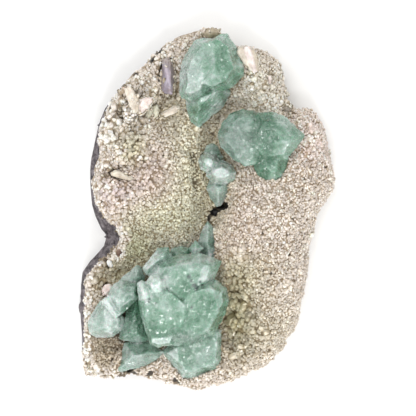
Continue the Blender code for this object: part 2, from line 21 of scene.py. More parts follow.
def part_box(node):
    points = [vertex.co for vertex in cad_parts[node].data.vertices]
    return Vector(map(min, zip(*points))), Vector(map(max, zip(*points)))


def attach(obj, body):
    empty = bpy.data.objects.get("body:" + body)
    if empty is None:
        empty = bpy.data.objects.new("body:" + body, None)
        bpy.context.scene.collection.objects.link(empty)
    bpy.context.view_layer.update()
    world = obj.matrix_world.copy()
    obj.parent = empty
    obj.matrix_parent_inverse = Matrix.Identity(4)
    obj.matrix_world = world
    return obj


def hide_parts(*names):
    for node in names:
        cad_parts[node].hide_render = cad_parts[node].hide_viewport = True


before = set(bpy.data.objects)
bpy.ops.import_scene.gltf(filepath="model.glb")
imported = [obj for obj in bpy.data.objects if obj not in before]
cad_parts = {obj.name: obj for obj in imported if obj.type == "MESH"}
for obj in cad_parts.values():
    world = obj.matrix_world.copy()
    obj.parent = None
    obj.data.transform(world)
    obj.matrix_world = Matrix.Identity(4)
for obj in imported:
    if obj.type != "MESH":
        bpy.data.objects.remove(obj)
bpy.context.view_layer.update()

# %% [markdown]
# The camera and its lens come first, because every size that shows depends on them.
# The specimen lies on its sawn back and is looked at from straight above, as one in a
# collector's tray is. A long lens from 70 cm keeps the tall crystals from leaning
# outwards, which a short lens close by would do.

# %% Camera
MM = 0.001
CENTRE = np.array((1.17, 0.285, 0.0))  # the slab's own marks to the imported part's origin
LENS, SENSOR, HEIGHT = 132.8, 36.0, 700.0  # mm; the height is over the table

camera = bpy.data.objects.new("camera", bpy.data.cameras.new("camera"))
camera.data.lens, camera.data.sensor_width = LENS, SENSOR
camera.location = (CENTRE[0] * MM, (CENTRE[1] - 0.44) * MM, HEIGHT * MM)
bpy.context.scene.collection.objects.link(camera)
bpy.context.scene.camera = camera
print("the frame is", round(SENSOR / LENS * (HEIGHT - 20)), "mm wide at the crystals")

# %% [markdown]
# Rock and crystal are never smooth, and the same roughness has to come out on every
# run. Gradient noise gives soft bumps, and patches give the mosaic of a crystal face:
# space is split among scattered seeds, and each seed tilts its own piece of the face.
# Both are worked out for a whole array of points at once.

# %% Noise and patches
ARROWS = np.random.default_rng(5).normal(size=(1024, 3))
ARROWS /= np.linalg.norm(ARROWS, axis=1, keepdims=True)


def ticket(cell, seed):
    """A number from 0 to 1023 for each cell of a lattice, the same on every run."""
    x, y, z = (cell[:, k].astype(np.int64) for k in range(3))
    mixed = x * 73856093 ^ y * 19349663 ^ z * 83492791 ^ np.int64(seed * 2654435)
    mixed = (mixed ^ (mixed >> 13)) * 1274126177
    return (mixed ^ (mixed >> 16)) & 1023


def noise(points, size, seed):
    """Gradient noise, about -1 to 1: at each corner of the cell round a point, an arrow
    dotted with the way from that corner, blended by 6t^5 - 15t^4 + 10t^3."""
    scaled = points / size
    low = np.floor(scaled)
    part = scaled - low
    ease = part**3 * (part * (part * 6 - 15) + 10)
    total = np.zeros(len(points))
    for corner in itertools.product((0, 1), repeat=3):
        share = np.where(corner, ease, 1 - ease).prod(axis=1)
        arrow = ARROWS[ticket(low + corner, seed)]
        total += share * ((part - corner) * arrow).sum(axis=1)
    return total * 1.7


def patches(points, size, seed):
    """(offset from the nearest seed of a jittered lattice in mm, that seed's arrow)."""
    scaled = points / size
    low = np.floor(scaled)
    nearest = np.full(len(points), 9.0)
    offset, tickets = np.zeros(points.shape), np.zeros(len(points), int)
    for step in itertools.product((-1, 0, 1), repeat=3):
        mine = ticket(low + step, seed)
        away = scaled - low - step - 0.5 - 0.45 * ARROWS[mine]
        apart = (away * away).sum(axis=1)
        nearer = apart < nearest
        nearest[nearer], offset[nearer] = apart[nearer], away[nearer]
        tickets[nearer] = mine[nearer]
    return offset * size, ARROWS[(tickets * 7 + 3) % 1024]


def smooth(t):
    """An eased step from 0 to 1."""
    t = np.clip(t, 0.0, 1.0)
    return t * t * (3 - 2 * t)


print("noise from", noise(np.random.default_rng(1).uniform(0, 50, (9999, 3)), 3, 1).min().round(2))

# %% [markdown]
# Two small helpers carry all that follows. One makes a mesh object from arrays, with
# its place in the mesh and any numbers a finish needs stored at its points. The other
# adds a shader node with its settings and links in one line, so a finish reads like a
# list of what the surface has.

# %% Pieces and nodes
def piece(name, points, faces, finish, slot, replaces=(), sharp=None, **stored):
    """A mesh object from millimetre points and faces, riding on the specimen."""
    mesh = bpy.data.meshes.new(name)
    mesh.from_pydata((points + CENTRE) * MM, [], faces)
    for label, values in stored.items():
        wide = values.ndim == 2
        layer = mesh.attributes.new(label, "FLOAT_COLOR" if wide else "FLOAT", "POINT")
        if wide:
            values = np.column_stack((values, np.ones(len(values))))
        layer.data.foreach_set("color" if wide else "value", values.ravel())
    mesh.polygons.foreach_set("use_smooth", np.full(len(mesh.polygons), sharp is not None))
    if sharp is not None:
        mesh.set_sharp_from_angle(angle=math.radians(sharp))
    mesh.materials.append(finish)
    made = bpy.data.objects.new(name, mesh)
    bpy.context.scene.collection.objects.link(made)
    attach(made, "root")
    if replaces:
        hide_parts(*replaces)
    triangles = len(mesh.loops) - 2 * len(mesh.polygons)
    print(name, len(points), "points,", triangles, "triangles")
    return made


def linear(colour):
    """An sRGB hex colour as linear red, green and blue."""
    value = np.array([int(colour[k : k + 2], 16) for k in (0, 2, 4)]) / 255
    return np.where(value <= 0.04045, value / 12.92, ((value + 0.055) / 1.055) ** 2.4)


def rgba(colour):
    """The same with an opacity of 1, as a socket takes it."""
    return (*linear(colour), 1.0)


def node(tree, kind, *links, **settings):
    """Adds a node. A setting names an input or a property, and a link is (input, the
    socket that feeds it)."""
    made = tree.nodes.new("ShaderNode" + kind)
    for label, value in settings.items():
        if hasattr(made, label):
            setattr(made, label, value)
        else:
            made.inputs[label.replace("_", " ")].default_value = value
    for into, source in links:
        tree.links.new(source, made.inputs[into])
    return made


def finish(name):
    """(material, its node tree, its Principled shader) with the default shader kept."""
    made = bpy.data.materials.new(name)
    made.use_nodes = True
    return made, made.node_tree, made.node_tree.nodes["Principled BSDF"]


def ramp(tree, source, *stops):
    """A colour ramp fed by a socket: stops are (place, hex colour)."""
    made = node(tree, "ValToRGB", ("Fac", source))
    points = made.color_ramp.elements
    while len(points) < len(stops):
        points.new(0.5)
    for point, (place, colour) in zip(points, stops):
        point.position, point.color = place, rgba(colour)
    return made


def toward(tree, amount, start, colour):
    """A socket that goes from a colour to a plain one by an amount from 0 to 1."""
    made = node(tree, "Mix", (0, amount), (6, start), data_type="RGBA")
    made.inputs[7].default_value = rgba(colour)
    return made.outputs[2]


def times(tree, one, other):
    """A socket with two colours multiplied."""
    made = node(tree, "Mix", (6, one), (7, other), data_type="RGBA", blend_type="MULTIPLY")
    made.inputs[0].default_value = 1.0
    return made.outputs[2]


def bumped(tree, height, into, strength, distance):
    """Feeds a shader's normal socket with bumps, their distance in metres."""
    made = node(tree, "Bump", ("Height", height), Strength=strength, Distance=distance)
    tree.links.new(made.outputs[0], into)


def surface(shader, **values):
    """Sets a shader's own inputs."""
    for label, value in values.items():
        shader.inputs[label.replace("_", " ")].default_value = value


# %% [markdown]
# Basalt is a fine dark lava, full of gas bubbles that minerals later filled. A sawn or
# hammered edge of it is dull, nearly black-grey, with pale specks where tiny crystals
# catch the light. Its colour is a slow and a fast noise run through a dark ramp, and
# the lining of a broken bubble is painted by a number stored at each point.

# %% Basalt finish
basalt, tree, shader = finish("basalt_broken")  # a dull scatter: rough and hardly glossy
place = node(tree, "TexCoord").outputs["Object"]
mottle = node(tree, "TexNoise", ("Vector", place), Scale=330.0, Detail=7.0, Roughness=0.75)
lath = node(tree, "TexVoronoi", ("Vector", place), Scale=900.0)  # pale laths, 1.1 mm apart
lining = node(tree, "Attribute", attribute_name="lining")
dark = ramp(tree, mottle.outputs["Fac"], (0.36, "1d191b"), (0.47, "575053"),
            (0.60, "8b8386"), (0.72, "b5adae"))
pale = ramp(tree, lath.outputs["Distance"], (0.04, "ffffff"), (0.14, "000000"))
flecked = toward(tree, pale.outputs[0], dark.outputs[0], "b3aaa8")
lined = ramp(tree, lining.outputs["Fac"], (0.0, "000000"), (0.35, "5a2f27"), (0.75, "e8dcd2"))
cover = node(tree, "MapRange", ("Value", lining.outputs["Fac"]), From_Max=0.3)
painted = node(tree, "Mix", (0, cover.outputs[0]), (6, flecked), (7, lined.outputs[0]),
               data_type="RGBA")
grit = node(tree, "TexNoise", ("Vector", place), Scale=1400.0, Detail=4.0)
tree.links.new(painted.outputs[2], shader.inputs["Base Color"])
bumped(tree, grit.outputs["Fac"], shader.inputs["Normal"], 0.7, 0.0004)
surface(shader, Roughness=0.78, IOR=1.6)

# %% [markdown]
# The slab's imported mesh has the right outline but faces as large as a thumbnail. A copy
# is merged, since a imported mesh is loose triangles, and each triangle is cut in four,
# three times over. Then every point off the sawn underside moves along its normal: big
# noise for the hammered faces, patches for the chips between them and fine noise for
# grit. Round pits are the gas bubbles that the saw and the hammer opened.

# %% Basalt slab
def packed(name):
    """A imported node's points, in mm from the slab's marks, and triangles, merged."""
    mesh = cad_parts[name].data
    points = np.empty(len(mesh.vertices) * 3)
    mesh.vertices.foreach_get("co", points)
    mesh.calc_loop_triangles()
    corners = np.empty(len(mesh.loop_triangles) * 3, int)
    mesh.loop_triangles.foreach_get("vertices", corners)
    points = np.round(points.reshape(-1, 3) / MM - CENTRE, 3)
    merged, back = np.unique(points, axis=0, return_inverse=True)
    return merged, back.reshape(-1)[corners].reshape(-1, 3)


def refine(points, faces, times):
    """Cuts each triangle in four at the middles of its edges, `times` times over."""
    for _ in range(times):
        pairs = np.sort(np.stack((faces, np.roll(faces, -1, 1)), axis=2), axis=2)
        keys, back = np.unique(pairs @ (len(points), 1), return_inverse=True)
        ends = np.stack((keys // len(points), keys % len(points)), axis=1)
        a, b, c = faces.T
        ab, bc, ca = (back.reshape(-1, 3) + len(points)).T
        points = np.vstack((points, points[ends].mean(axis=1)))
        quarters = ((a, ab, ca), (ab, b, bc), (ca, bc, c), (ab, bc, ca))
        faces = np.concatenate([np.stack(q, axis=1) for q in quarters])
    return points, faces


def normals_of(points, faces):
    """Unit normals at the points: the sum of their faces' cross products."""
    a, b, c = points[faces].transpose(1, 0, 2)
    across = np.cross(b - a, c - a)
    total = np.stack([np.bincount(faces.ravel(), np.repeat(across[:, k], 3), len(points))
                      for k in range(3)], axis=1)
    return total / np.maximum(np.linalg.norm(total, axis=1, keepdims=True), 1e-9)


PITS = (  # gas bubbles: x, y, height, radius and depth, mm, and 1 if lined white
    (-45.6, 41.8, 12.0, 2.2, 1.4, 1), (-45.0, 45.6, 11.0, 1.3, 0.8, 0),
    (-52.8, 8.0, 9.0, 1.5, 0.9, 0), (-47.5, -6.5, 10.0, 1.8, 1.0, 0),
    (-50.0, 22.0, 10.0, 1.6, 0.9, 0), (-41.0, -17.0, 12.0, 1.4, 0.8, 1),
    (-57.2, -42.0, 9.0, 1.6, 0.9, 0), (-56.8, -60.0, 8.0, 1.9, 1.0, 1),
    (-30.0, -74.8, 9.0, 2.0, 1.2, 0), (-14.0, -78.4, 9.0, 1.7, 1.0, 0),
    (30.0, -63.0, 4.0, 1.5, 0.8, 0), (20.0, 72.0, 5.0, 1.8, 0.9, 0),
)
points, faces = refine(*packed("basalt_matrix"), 3)
out = normals_of(points, faces)
free = smooth((points[:, 2] - 0.3) / 1.5)[:, None]
tilt, arrow = patches(points, 4.5, 3)
hammered = noise(points, 7, 1) * 0.9 + noise(points, 2.4, 2) * 0.45 + noise(points, 1.1, 4) * 0.2
lining = np.zeros(len(points))
push = hammered + (tilt * arrow).sum(axis=1) * 0.25 - 0.05
for x, y, z, radius, depth, white in PITS:
    apart = np.linalg.norm(points - (x, y, z), axis=1) / radius
    push -= depth * np.sqrt(np.clip(1 - apart**2, 0, None))
    lining = np.maximum(lining, white * smooth(1.6 - apart) * (0.45 + 0.55 * smooth(apart * 2 - 1)))
piece("basalt_slab", points + out * push[:, None] * free, faces.tolist(), basalt,
      "basalt", ["basalt_matrix"], sharp=50, lining=lining)

# %% [markdown]
# Apophyllite grows as blocky crystals with flat ends, and where several start together
# they lock into one mass. Each one here is a list of flat faces: its outline from above
# at its widest, faces that rise inwards at one slope and fall inwards below at another,
# and a flat top that may lean. Extra cuts add the bevels and ridges of the big ones.

# %% Crystals
class Crystal(NamedTuple):
    """Corners of the outline anticlockwise, height of its widest line and of the middle of its top;
    slopes of the faces above and below that line; how the line and the top climb along x and y;
    height of its foot; extra cuts as (x, y, z, way it faces in degrees round from +x, slope from
    level, frost added, which on the glint facets is a painted highlight); then how frosted and how
    wavy it is, and its striae as (way, spacing, depth)."""

    outline: tuple
    girdle: float
    top: float
    rise: float = 55
    fall: float = 76
    lean: tuple = (0.0, 0.0)
    top_lean: tuple = (0.0, 0.0)
    root: float = 14.5
    cuts: tuple = ()
    frost: float = 0.4
    wave: float = 0.12
    stripe: tuple = None


def faces_of(one):
    """(a point on each face, each face's unit normal, pointing out)."""
    ring = np.array(one.outline)
    middle = ring.mean(axis=0)
    ring = np.column_stack((ring, one.girdle + (ring - middle) @ one.lean))
    edge = np.roll(ring, -1, 0) - ring
    edge /= np.linalg.norm(edge, axis=1, keepdims=True)
    out = np.stack((edge[:, 1], -edge[:, 0], 0 * edge[:, 0]), axis=1)
    out /= np.linalg.norm(out, axis=1, keepdims=True)
    sides = []
    for slope, pole in ((one.rise, 1), (one.fall, -1)):
        slope = math.radians(slope)
        normal = out * math.sin(slope) + (0, 0, pole * math.cos(slope))
        sides.append(normal - edge * (normal * edge).sum(axis=1, keepdims=True))
    marks = [(*middle, one.top), (*middle, one.root)] + [cut[:3] for cut in one.cuts]
    ways = [(-one.top_lean[0], -one.top_lean[1], 1), (0, 0, -1)]
    for *_, way, slope, _ in one.cuts:
        way, slope = math.radians(way), math.radians(slope)
        ways.append((math.cos(way) * math.sin(slope), math.sin(way) * math.sin(slope),
                     math.cos(slope)))
    normals = np.vstack((*sides, ways))
    return np.vstack((ring, ring, marks)), normals / np.linalg.norm(normals, axis=1, keepdims=True)


def depths(one, points):
    """How far each point is in front of each of a crystal's flat faces, mm. The largest
    is how far it is outside the crystal."""
    marks, normals = faces_of(one)
    return points @ normals.T - (marks * normals).sum(axis=1)


def frost_on(one, points, seed):
    """Frost at the points: every face has its own, and the edges are chipped white and lightened
    further as a painted edge highlight.
    """
    away = depths(one, points)
    own = one.frost + np.random.default_rng(seed).uniform(-0.12, 0.12, away.shape[1])
    if one.cuts:
        own[-len(one.cuts):] = [one.frost + cut[5] for cut in one.cuts]
    second, first = np.partition(away, -2, axis=1)[:, -2:].T
    chipped_and_highlit_edge = 0.22 * (1 + noise(points, 3.0, seed)) * np.exp((second - first) / 0.4)
    return own[away.argmax(axis=1)] + chipped_and_highlit_edge


def growth(one, points, seed):
    """Relief that growth left on the faces, mm taken off: slow waves, square terraces
    round scattered hillocks, a mosaic of slightly tilted patches, and striae."""
    turn = math.radians(seed * 37)
    own = points @ np.array(((math.cos(turn), math.sin(turn), 0),
                             (-math.sin(turn), math.cos(turn), 0), (0, 0, 1)))
    waves = noise(own, 10.0, seed) * one.wave
    offset, arrow = patches(own * (1, 1, 0.7), 6.0, seed)
    ring = np.abs(offset).max(axis=1) / 0.8 + noise(own, 3.0, seed + 50) * 0.7
    terrace = (np.floor(ring) + smooth((ring - np.floor(ring)) * 4)) * 0.07
    small, lean = patches(own, 2.4, seed + 30)
    mosaic = (offset * arrow).sum(axis=1) * 0.05 + (small * lean).sum(axis=1) * 0.10
    fine = noise(own, 1.2, seed + 90) * 0.05
    if one.stripe:
        way, spacing, depth = one.stripe
        way = math.radians(way)
        along = points @ (math.cos(way), math.sin(way), 0.25)
        across = points @ (-math.sin(way), math.cos(way), 0.35)
        groove = np.stack((across, along * 0.06, 0 * along), axis=1)
        fine += noise(groove, spacing, seed + 20) * depth
    return np.clip(waves + terrace + mosaic + fine - 0.15, 0.0, 2.0)


# %% [markdown]
# To see such a solid, its number is worked out on a lattice of points and the surface is
# drawn where it changes sign. Marching cubes would do; surface nets are shorter to write
# and give squarer, evener faces: one point in each cell that the surface passes through,
# at the mean of the places where it crosses the cell's edges.

# %% From a field of numbers to a surface
def surface_nets(field, corner, step):
    """(points, four-cornered faces) where a lattice of numbers changes sign. Round each
    lattice edge that is crossed, the points of its four cells make one face."""
    cells, crossings, rings = [], [], []
    for axis in range(3):
        ahead = np.eye(3, dtype=int)[axis]
        low = field[tuple(slice(0, -1) if k == axis else slice(None) for k in range(3))]
        high = field[tuple(slice(1, None) if k == axis else slice(None) for k in range(3))]
        start = np.argwhere((low < 0) != (high < 0))
        here, there = field[tuple(start.T)], field[tuple((start + ahead).T)]
        u, v = np.eye(3, dtype=int)[[(axis + 1) % 3, (axis + 2) % 3]]
        ring = start[:, None] - np.array((0 * u, u, u + v, v))
        ring[here > 0] = ring[here > 0][:, ::-1]
        crossing = start + ahead * (here / (here - there))[:, None]
        rings.append(np.ravel_multi_index(ring.reshape(-1, 3).T, field.shape))
        crossings.append(np.repeat(crossing, 4, axis=0))
    keys, back = np.unique(np.concatenate(rings), return_inverse=True)
    crossings = np.concatenate(crossings)
    count = np.bincount(back)
    points = np.stack([np.bincount(back, crossings[:, k]) / count for k in range(3)], axis=1)
    return points * step + corner, back.reshape(-1, 4)


def grown(crystals, step, seed):
    """Crystals locked together: (points, faces, frost and painted highlight at the points). Each is
    worked out only in the block of lattice that it fills, and relief only close to its faces.
    A step is one number, or three for x, y and z."""
    step = np.ones(3) * step
    rings = [np.array(one.outline) for one in crystals]
    low = np.array((*np.vstack(rings).min(axis=0), min(c.root for c in crystals))) - 3 * step
    high = np.array((*np.vstack(rings).max(axis=0), max(c.top for c in crystals) + 6))
    count = np.ceil((high - low) / step).astype(int) + 4
    field = np.full(count, 5.0, np.float32)
    axes = [low[k] + step[k] * np.arange(count[k]) for k in range(3)]
    for k, (one, ring) in enumerate(zip(crystals, rings)):
        bounds = ((ring[:, 0].min(), ring[:, 0].max()), (ring[:, 1].min(), ring[:, 1].max()),
                  (one.root, one.top + 6))
        block = tuple(slice(*np.searchsorted(axis, (a - wide, b + wide)))
                      for axis, wide, (a, b) in zip(axes, step, bounds))
        grid = np.stack(np.meshgrid(*(a[s] for a, s in zip(axes, block)), indexing="ij"), -1)
        spots = grid.reshape(-1, 3)
        value = depths(one, spots).max(axis=1)
        near = np.abs(value) < 2.6
        value[near] += growth(one, spots[near], seed + k)
        field[block] = np.minimum(field[block], value.reshape(grid.shape[:3]))
    field[:, :, 0] = field[0] = field[:, 0] = 5.0
    points, faces = surface_nets(field, low, step)
    each = np.stack([depths(one, points).max(axis=1) for one in crystals], axis=1)
    share = np.exp(-np.clip(each - each.min(axis=1, keepdims=True), 0, 8) / 0.4)
    own = np.stack([frost_on(one, points, seed + k) for k, one in enumerate(crystals)], axis=1)
    return points, faces, (share * own).sum(axis=1) / share.sum(axis=1)

# %% [markdown]
# The green of apophyllite comes from traces of vanadium, and it deepens where the crystal is thick
# and clear. Its skin is frosted by fine etching, and inside there are milky veils. So the finish is
# part glass and part milk: light that goes in is absorbed along its way, red first, and the milk
# scatters it. Frost stored at the points and two noises decide where the skin is white; the stored
# number also holds painted highlights on the glint facets, along the edges and in a few spots.

# %% Apophyllite finish
def facets(tree, place, scale):
    """Height of a mosaic of flat facets, each tipped its own way: the way from a cell's
    seed, dotted with the cell's chance colour less a half."""
    cells = node(tree, "TexVoronoi", ("Vector", place), Scale=scale)
    inside = node(tree, "VectorMath", (0, place), (1, cells.outputs["Position"]),
                  operation="SUBTRACT")
    tilt = node(tree, "VectorMath", (0, cells.outputs["Color"]), operation="SUBTRACT")
    tilt.inputs[1].default_value = (0.5, 0.5, 0.5)
    return node(tree, "VectorMath", (0, inside.outputs[0]), (1, tilt.outputs[0]),
                operation="DOT_PRODUCT").outputs["Value"]


green, tree, shader = finish("apophyllite_frosted")  # a zeolite-like glass, IOR 1.537
place = node(tree, "TexCoord").outputs["Object"]
frost, speck, smoke = (node(tree, "Attribute", attribute_name=label).outputs["Fac"]
                       for label in ("frost", "speck", "smoke"))
veil = node(tree, "TexNoise", ("Vector", place), Scale=120.0, Detail=5.0, Roughness=0.6)
etched = node(tree, "TexNoise", ("Vector", place), Scale=700.0, Detail=3.0, Roughness=0.6)
cloud = node(tree, "MapRange", ("Value", veil.outputs["Fac"]),
             From_Min=0.35, From_Max=0.68, To_Min=-0.24, To_Max=0.24)
amount = node(tree, "Math", (0, frost), (1, cloud.outputs[0]), operation="ADD")
skin = ramp(tree, amount.outputs[0], (0.0, "6fa688"), (0.3, "92bea5"),
            (0.6, "b3ccc0"), (1.0, "e2eae7"))
smoky = toward(tree, smoke, skin.outputs[0], "98aaa2")
tree.links.new(toward(tree, speck, smoky, "4f6660"), shader.inputs["Base Color"])
glassy = node(tree, "MapRange", ("Value", amount.outputs[0]),
              From_Min=0.0, From_Max=0.9, To_Min=0.62, To_Max=0.22)
tree.links.new(glassy.outputs[0], shader.inputs["Transmission Weight"])
dull = node(tree, "MapRange", ("Value", etched.outputs["Fac"]),
            From_Min=0.35, From_Max=0.65, To_Min=0.08, To_Max=0.36)
tree.links.new(dull.outputs[0], shader.inputs["Roughness"])
pitted = node(tree, "Math", (0, etched.outputs["Fac"]), (2, facets(tree, place, 520.0)),
              operation="MULTIPLY_ADD")  # etch facets 1.9 mm wide, with pits over them
pitted.inputs[1].default_value = 0.0004  # the pits' depth; both are in metres
bumped(tree, pitted.outputs[0], shader.inputs["Normal"], 0.8, 0.9)
bumped(tree, facets(tree, place, 1000.0), shader.inputs["Coat Normal"], 1.0, 1.0)  # chips
surface(shader, Coat_Weight=0.7, Coat_Roughness=0.06, IOR=1.537, Subsurface_Weight=0.6,
        Subsurface_Radius=(0.6, 1.0, 0.8), Subsurface_Scale=0.004)
depth = node(tree, "VolumeAbsorption", Color=rgba("9fdec1"), Density=26.0)
tree.links.new(depth.outputs[0], tree.nodes["Material Output"].inputs["Volume"])

# %% [markdown]
# Four groups of them stand in the druse. The outlines are the crystals' own, in
# millimetres from the slab's marks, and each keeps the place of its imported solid.

# %% Apophyllite groups
ROSETTE = (
    Crystal(  # long prism, front left
        ((-52.7, -55.9), (-49.5, -58.0), (-42.0, -57.6), (-37.0, -54.2), (-36.6, -48.4),
         (-42.7, -39.2), (-47.9, -40.9), (-53.5, -50.6)),
        24, 40, rise=58, fall=70, lean=(0.1, 0.08), root=17.2, frost=0.72,
        cuts=((-44.5, -49.0, 30.8, 195, 20, 0.0), (-44.5, -49.0, 30.8, 5, 22, 0.15),
              (-44.0, -55.0, 28.5, -100, 42, -0.15))),
    Crystal(  # block stepped on it
        ((-39.2, -47.6), (-37.9, -47.6), (-29.4, -39.4), (-29.8, -33.0), (-37.3, -31.5),
         (-41.2, -33.4), (-44.6, -38.8)),
        33, 39.5, rise=64, lean=(0.1, 0.1), top_lean=(0.1, 0.02), frost=0.5,
        cuts=((-35.6, -43.2, 37.6, -45, 30, 0.1), (-34.0, -33.5, 38.0, 60, 20, 0.05),
              (-40.5, -41.0, 38.4, -138, 30, 0.1))),
    Crystal(  # white ledge along its left side
        ((-47.0, -40.8), (-40.3, -48.9), (-37.6, -46.6), (-43.4, -38.0)),
        34, 36.4, rise=60, fall=80, lean=(0.05, 0.05), top_lean=(0.12, 0.05), frost=1.2,
        stripe=(-50, 1.2, 0.15)),
    Crystal(  # clear block behind it
        ((-39.3, -37.5), (-28.8, -34.9), (-27.1, -30.6), (-29.0, -25.6), (-31.2, -24.9),
         (-41.7, -34.2)),
        30, 36, rise=50, lean=(0.05, 0.05), top_lean=(0, 0.1), frost=0.45,
        cuts=((-35.0, -29.0, 33.5, 130, 38, 0.3), (-38.0, -35.0, 34.0, -60, 14, 0.1)),
        stripe=(130, 1.6, 0.15)),
    Crystal(  # low, in their shade
        ((-41.5, -56.2), (-37.6, -59.4), (-30.0, -60.0), (-24.5, -58.5), (-27.3, -47.4),
         (-28.6, -36.5), (-33.6, -36.0), (-36.0, -45.0)),
        26, 32, fall=72, lean=(0.0, 0.08), top_lean=(-0.12, -0.06), frost=0.32),
    Crystal(  # towards the near corner
        ((-41.6, -72.6), (-38.1, -73.3), (-27.5, -70.4), (-21.8, -67.3), (-19.0, -63.8),
         (-25.0, -59.0), (-37.0, -59.6)),
        23.0, 30, rise=50, lean=(0.03, 0.10), top_lean=(-0.02, 0.10), root=15.0,
        frost=0.3, stripe=(60, 1.2, 0.12)),
    Crystal(  # broad point, near edge
        ((-20.5, -64.0), (-11.2, -75.9), (-7.1, -76.1), (3.9, -71.4), (5.9, -68.0),
         (6.2, -54.0), (-1.3, -50.0), (-14.1, -57.0)),
        24, 40, rise=60, lean=(0.0, 0.22), frost=0.45,
        cuts=((-13.2, -65.0, 30.0, 205, 27, 0.35), (-13.2, -65.0, 30.0, -50, 10, 0.0)),
        stripe=(75, 2.2, 0.10)),
    Crystal(  # great crystal, its broad leaf-shaped face
        ((-30.6, -40.4), (-29.0, -47.5), (-27.4, -53.6), (-25.6, -59.4), (-21.5, -61.0),
         (-14.4, -59.8), (-9.5, -51.6), (-6.0, -46.6), (-7.6, -40.5), (-13.5, -35.0),
         (-20.0, -32.0), (-27.6, -33.0)),
        38, 52, rise=70, fall=76, lean=(0, 0.05), frost=0.3, wave=0.1,
        cuts=((-14.0, -44.0, 44.9, -125, 8, 0.05), (-27.0, -46.0, 43.4, 190, 36, -0.15),
              # the cut facing -95 at 25.5 degrees is a glint facet, its added frost a painted
              # highlight
              (-24.6, -42.5, 44.9, -160, 20, -0.1), (-20.0, -57.0, 42.6, -95, 25.5, 0.6),
              (-9.6, -46.0, 44.6, -25, 24, -0.05)),
        stripe=(60, 2.0, 0.08)),
    Crystal(  # great crystal, its fan on the right
        ((-22.0, -59.4), (-16.5, -60.4), (-7.8, -60.7), (2.6, -55.9), (8.3, -46.2),
         (9.6, -40.5), (8.4, -35.2), (4.2, -31.3), (-1.3, -30.5), (-11.0, -33.4),
         (-20.0, -47.0)),
        34, 50, rise=66, fall=72, lean=(0, 0.1), frost=0.34, wave=0.08,
        cuts=((-4.0, -46.0, 43.2, -60, 10, 0.0), (6.4, -43.0, 41.2, 0, 36, 0.25),
              (-5.0, -55.5, 41.4, -81, 37, -0.2), (3.6, -51.0, 40.8, -40, 26, 0.05)),
        stripe=(40, 1.3, 0.34)),
    Crystal(  # dark block beside its near edge
        ((-13.6, -55.4), (-13.0, -59.8), (-6.8, -60.6), (-5.2, -57.0), (-6.6, -54.2)),
        34, 40.8, rise=66, top_lean=(0.1, 0.15), frost=0.15),
    Crystal(  # pointed, upper right
        ((-17.5, -41.0), (-9.0, -43.2), (-3.4, -39.0), (2.4, -32.4), (6.2, -23.3),
         (1.5, -21.3), (-4.1, -19.6), (-12.5, -20.3), (-23.1, -23.3), (-26.3, -29.3)),
        37, 50, rise=62, fall=70, frost=0.3, wave=0.08,
        cuts=((-8.0, -26.5, 45.2, 92, 24, 0.05), (-8.0, -26.5, 45.2, -86, 6, 0.0),
              (2.6, -27.0, 42.9, -25, 24, 0.25), (-19.5, -29.0, 44.0, 150, 26, 0.1)),
        stripe=(8, 2.4, 0.12)),
    Crystal(  # clear, upper left
        ((-26.8, -29.8), (-17.1, -24.2), (-15.3, -20.7), (-17.1, -17.1), (-21.6, -17.3),
         (-28.6, -26.3)),
        37, 43, fall=74, top_lean=(-0.1, 0.1), frost=0.35,
        cuts=((-22.0, -23.2, 42.3, 135, 34, 0.45), (-20.2, -25.2, 42.6, -50, 28, -0.1)),
        stripe=(50, 1.1, 0.2)),
    Crystal(  # pale, at the crown
        ((-29.6, -40.0), (-26.0, -41.4), (-23.7, -38.4), (-24.1, -33.1), (-28.2, -30.9),
         (-31.1, -32.3)),
        44, 50, rise=62, fall=80, frost=0.75,
        cuts=((-27.2, -36.4, 48.6, 60, 26, -0.1), (-27.2, -36.4, 48.6, 150, 30, 0.2),
              (-27.2, -36.4, 48.6, 240, 30, 0.05), (-27.2, -36.4, 48.6, 330, 34, 0.3))),
    Crystal(  # pale, beside it
        ((-25.1, -38.0), (-21.2, -38.6), (-18.1, -37.4), (-17.6, -30.8), (-20.4, -28.3),
         (-24.4, -28.7), (-27.0, -32.5)),
        45, 52, rise=62, fall=80, frost=0.5,
        cuts=((-21.6, -33.8, 50.6, 20, 28, 0.3), (-21.6, -33.8, 50.6, 110, 24, -0.1),
              (-21.6, -33.8, 50.6, 200, 26, 0.15), (-21.6, -33.8, 50.6, 290, 32, 0.0))),
    Crystal(  # low step behind
        ((-12.2, -27.0), (-6.3, -24.6), (-7.7, -17.7), (-12.2, -16.4), (-16.3, -18.1),
         (-18.3, -25.0)),
        30, 36, top_lean=(0, 0.15), frost=0.25),
    Crystal(  # little square pyramid
        ((-5.6, -22.5), (-1.6, -17.9), (-5.6, -13.9), (-9.0, -18.1)),
        33, 45, rise=44, fall=84, frost=0.45, wave=0.05),
    Crystal(  # down in the cleft
        ((-3.5, -26.0), (3.5, -25.8), (5.5, -21.1), (2.2, -8.2), (-0.2, -5.6),
         (-2.6, -9.0), (-4.6, -15.1)),
        22.5, 28, rise=42, fall=80, top_lean=(0.1, 0.1), frost=0.65,
        cuts=((0.5, -15.0, 26.6, 180, 20, -0.25), (0.5, -15.0, 26.6, 0, 14, 0.05))),
)
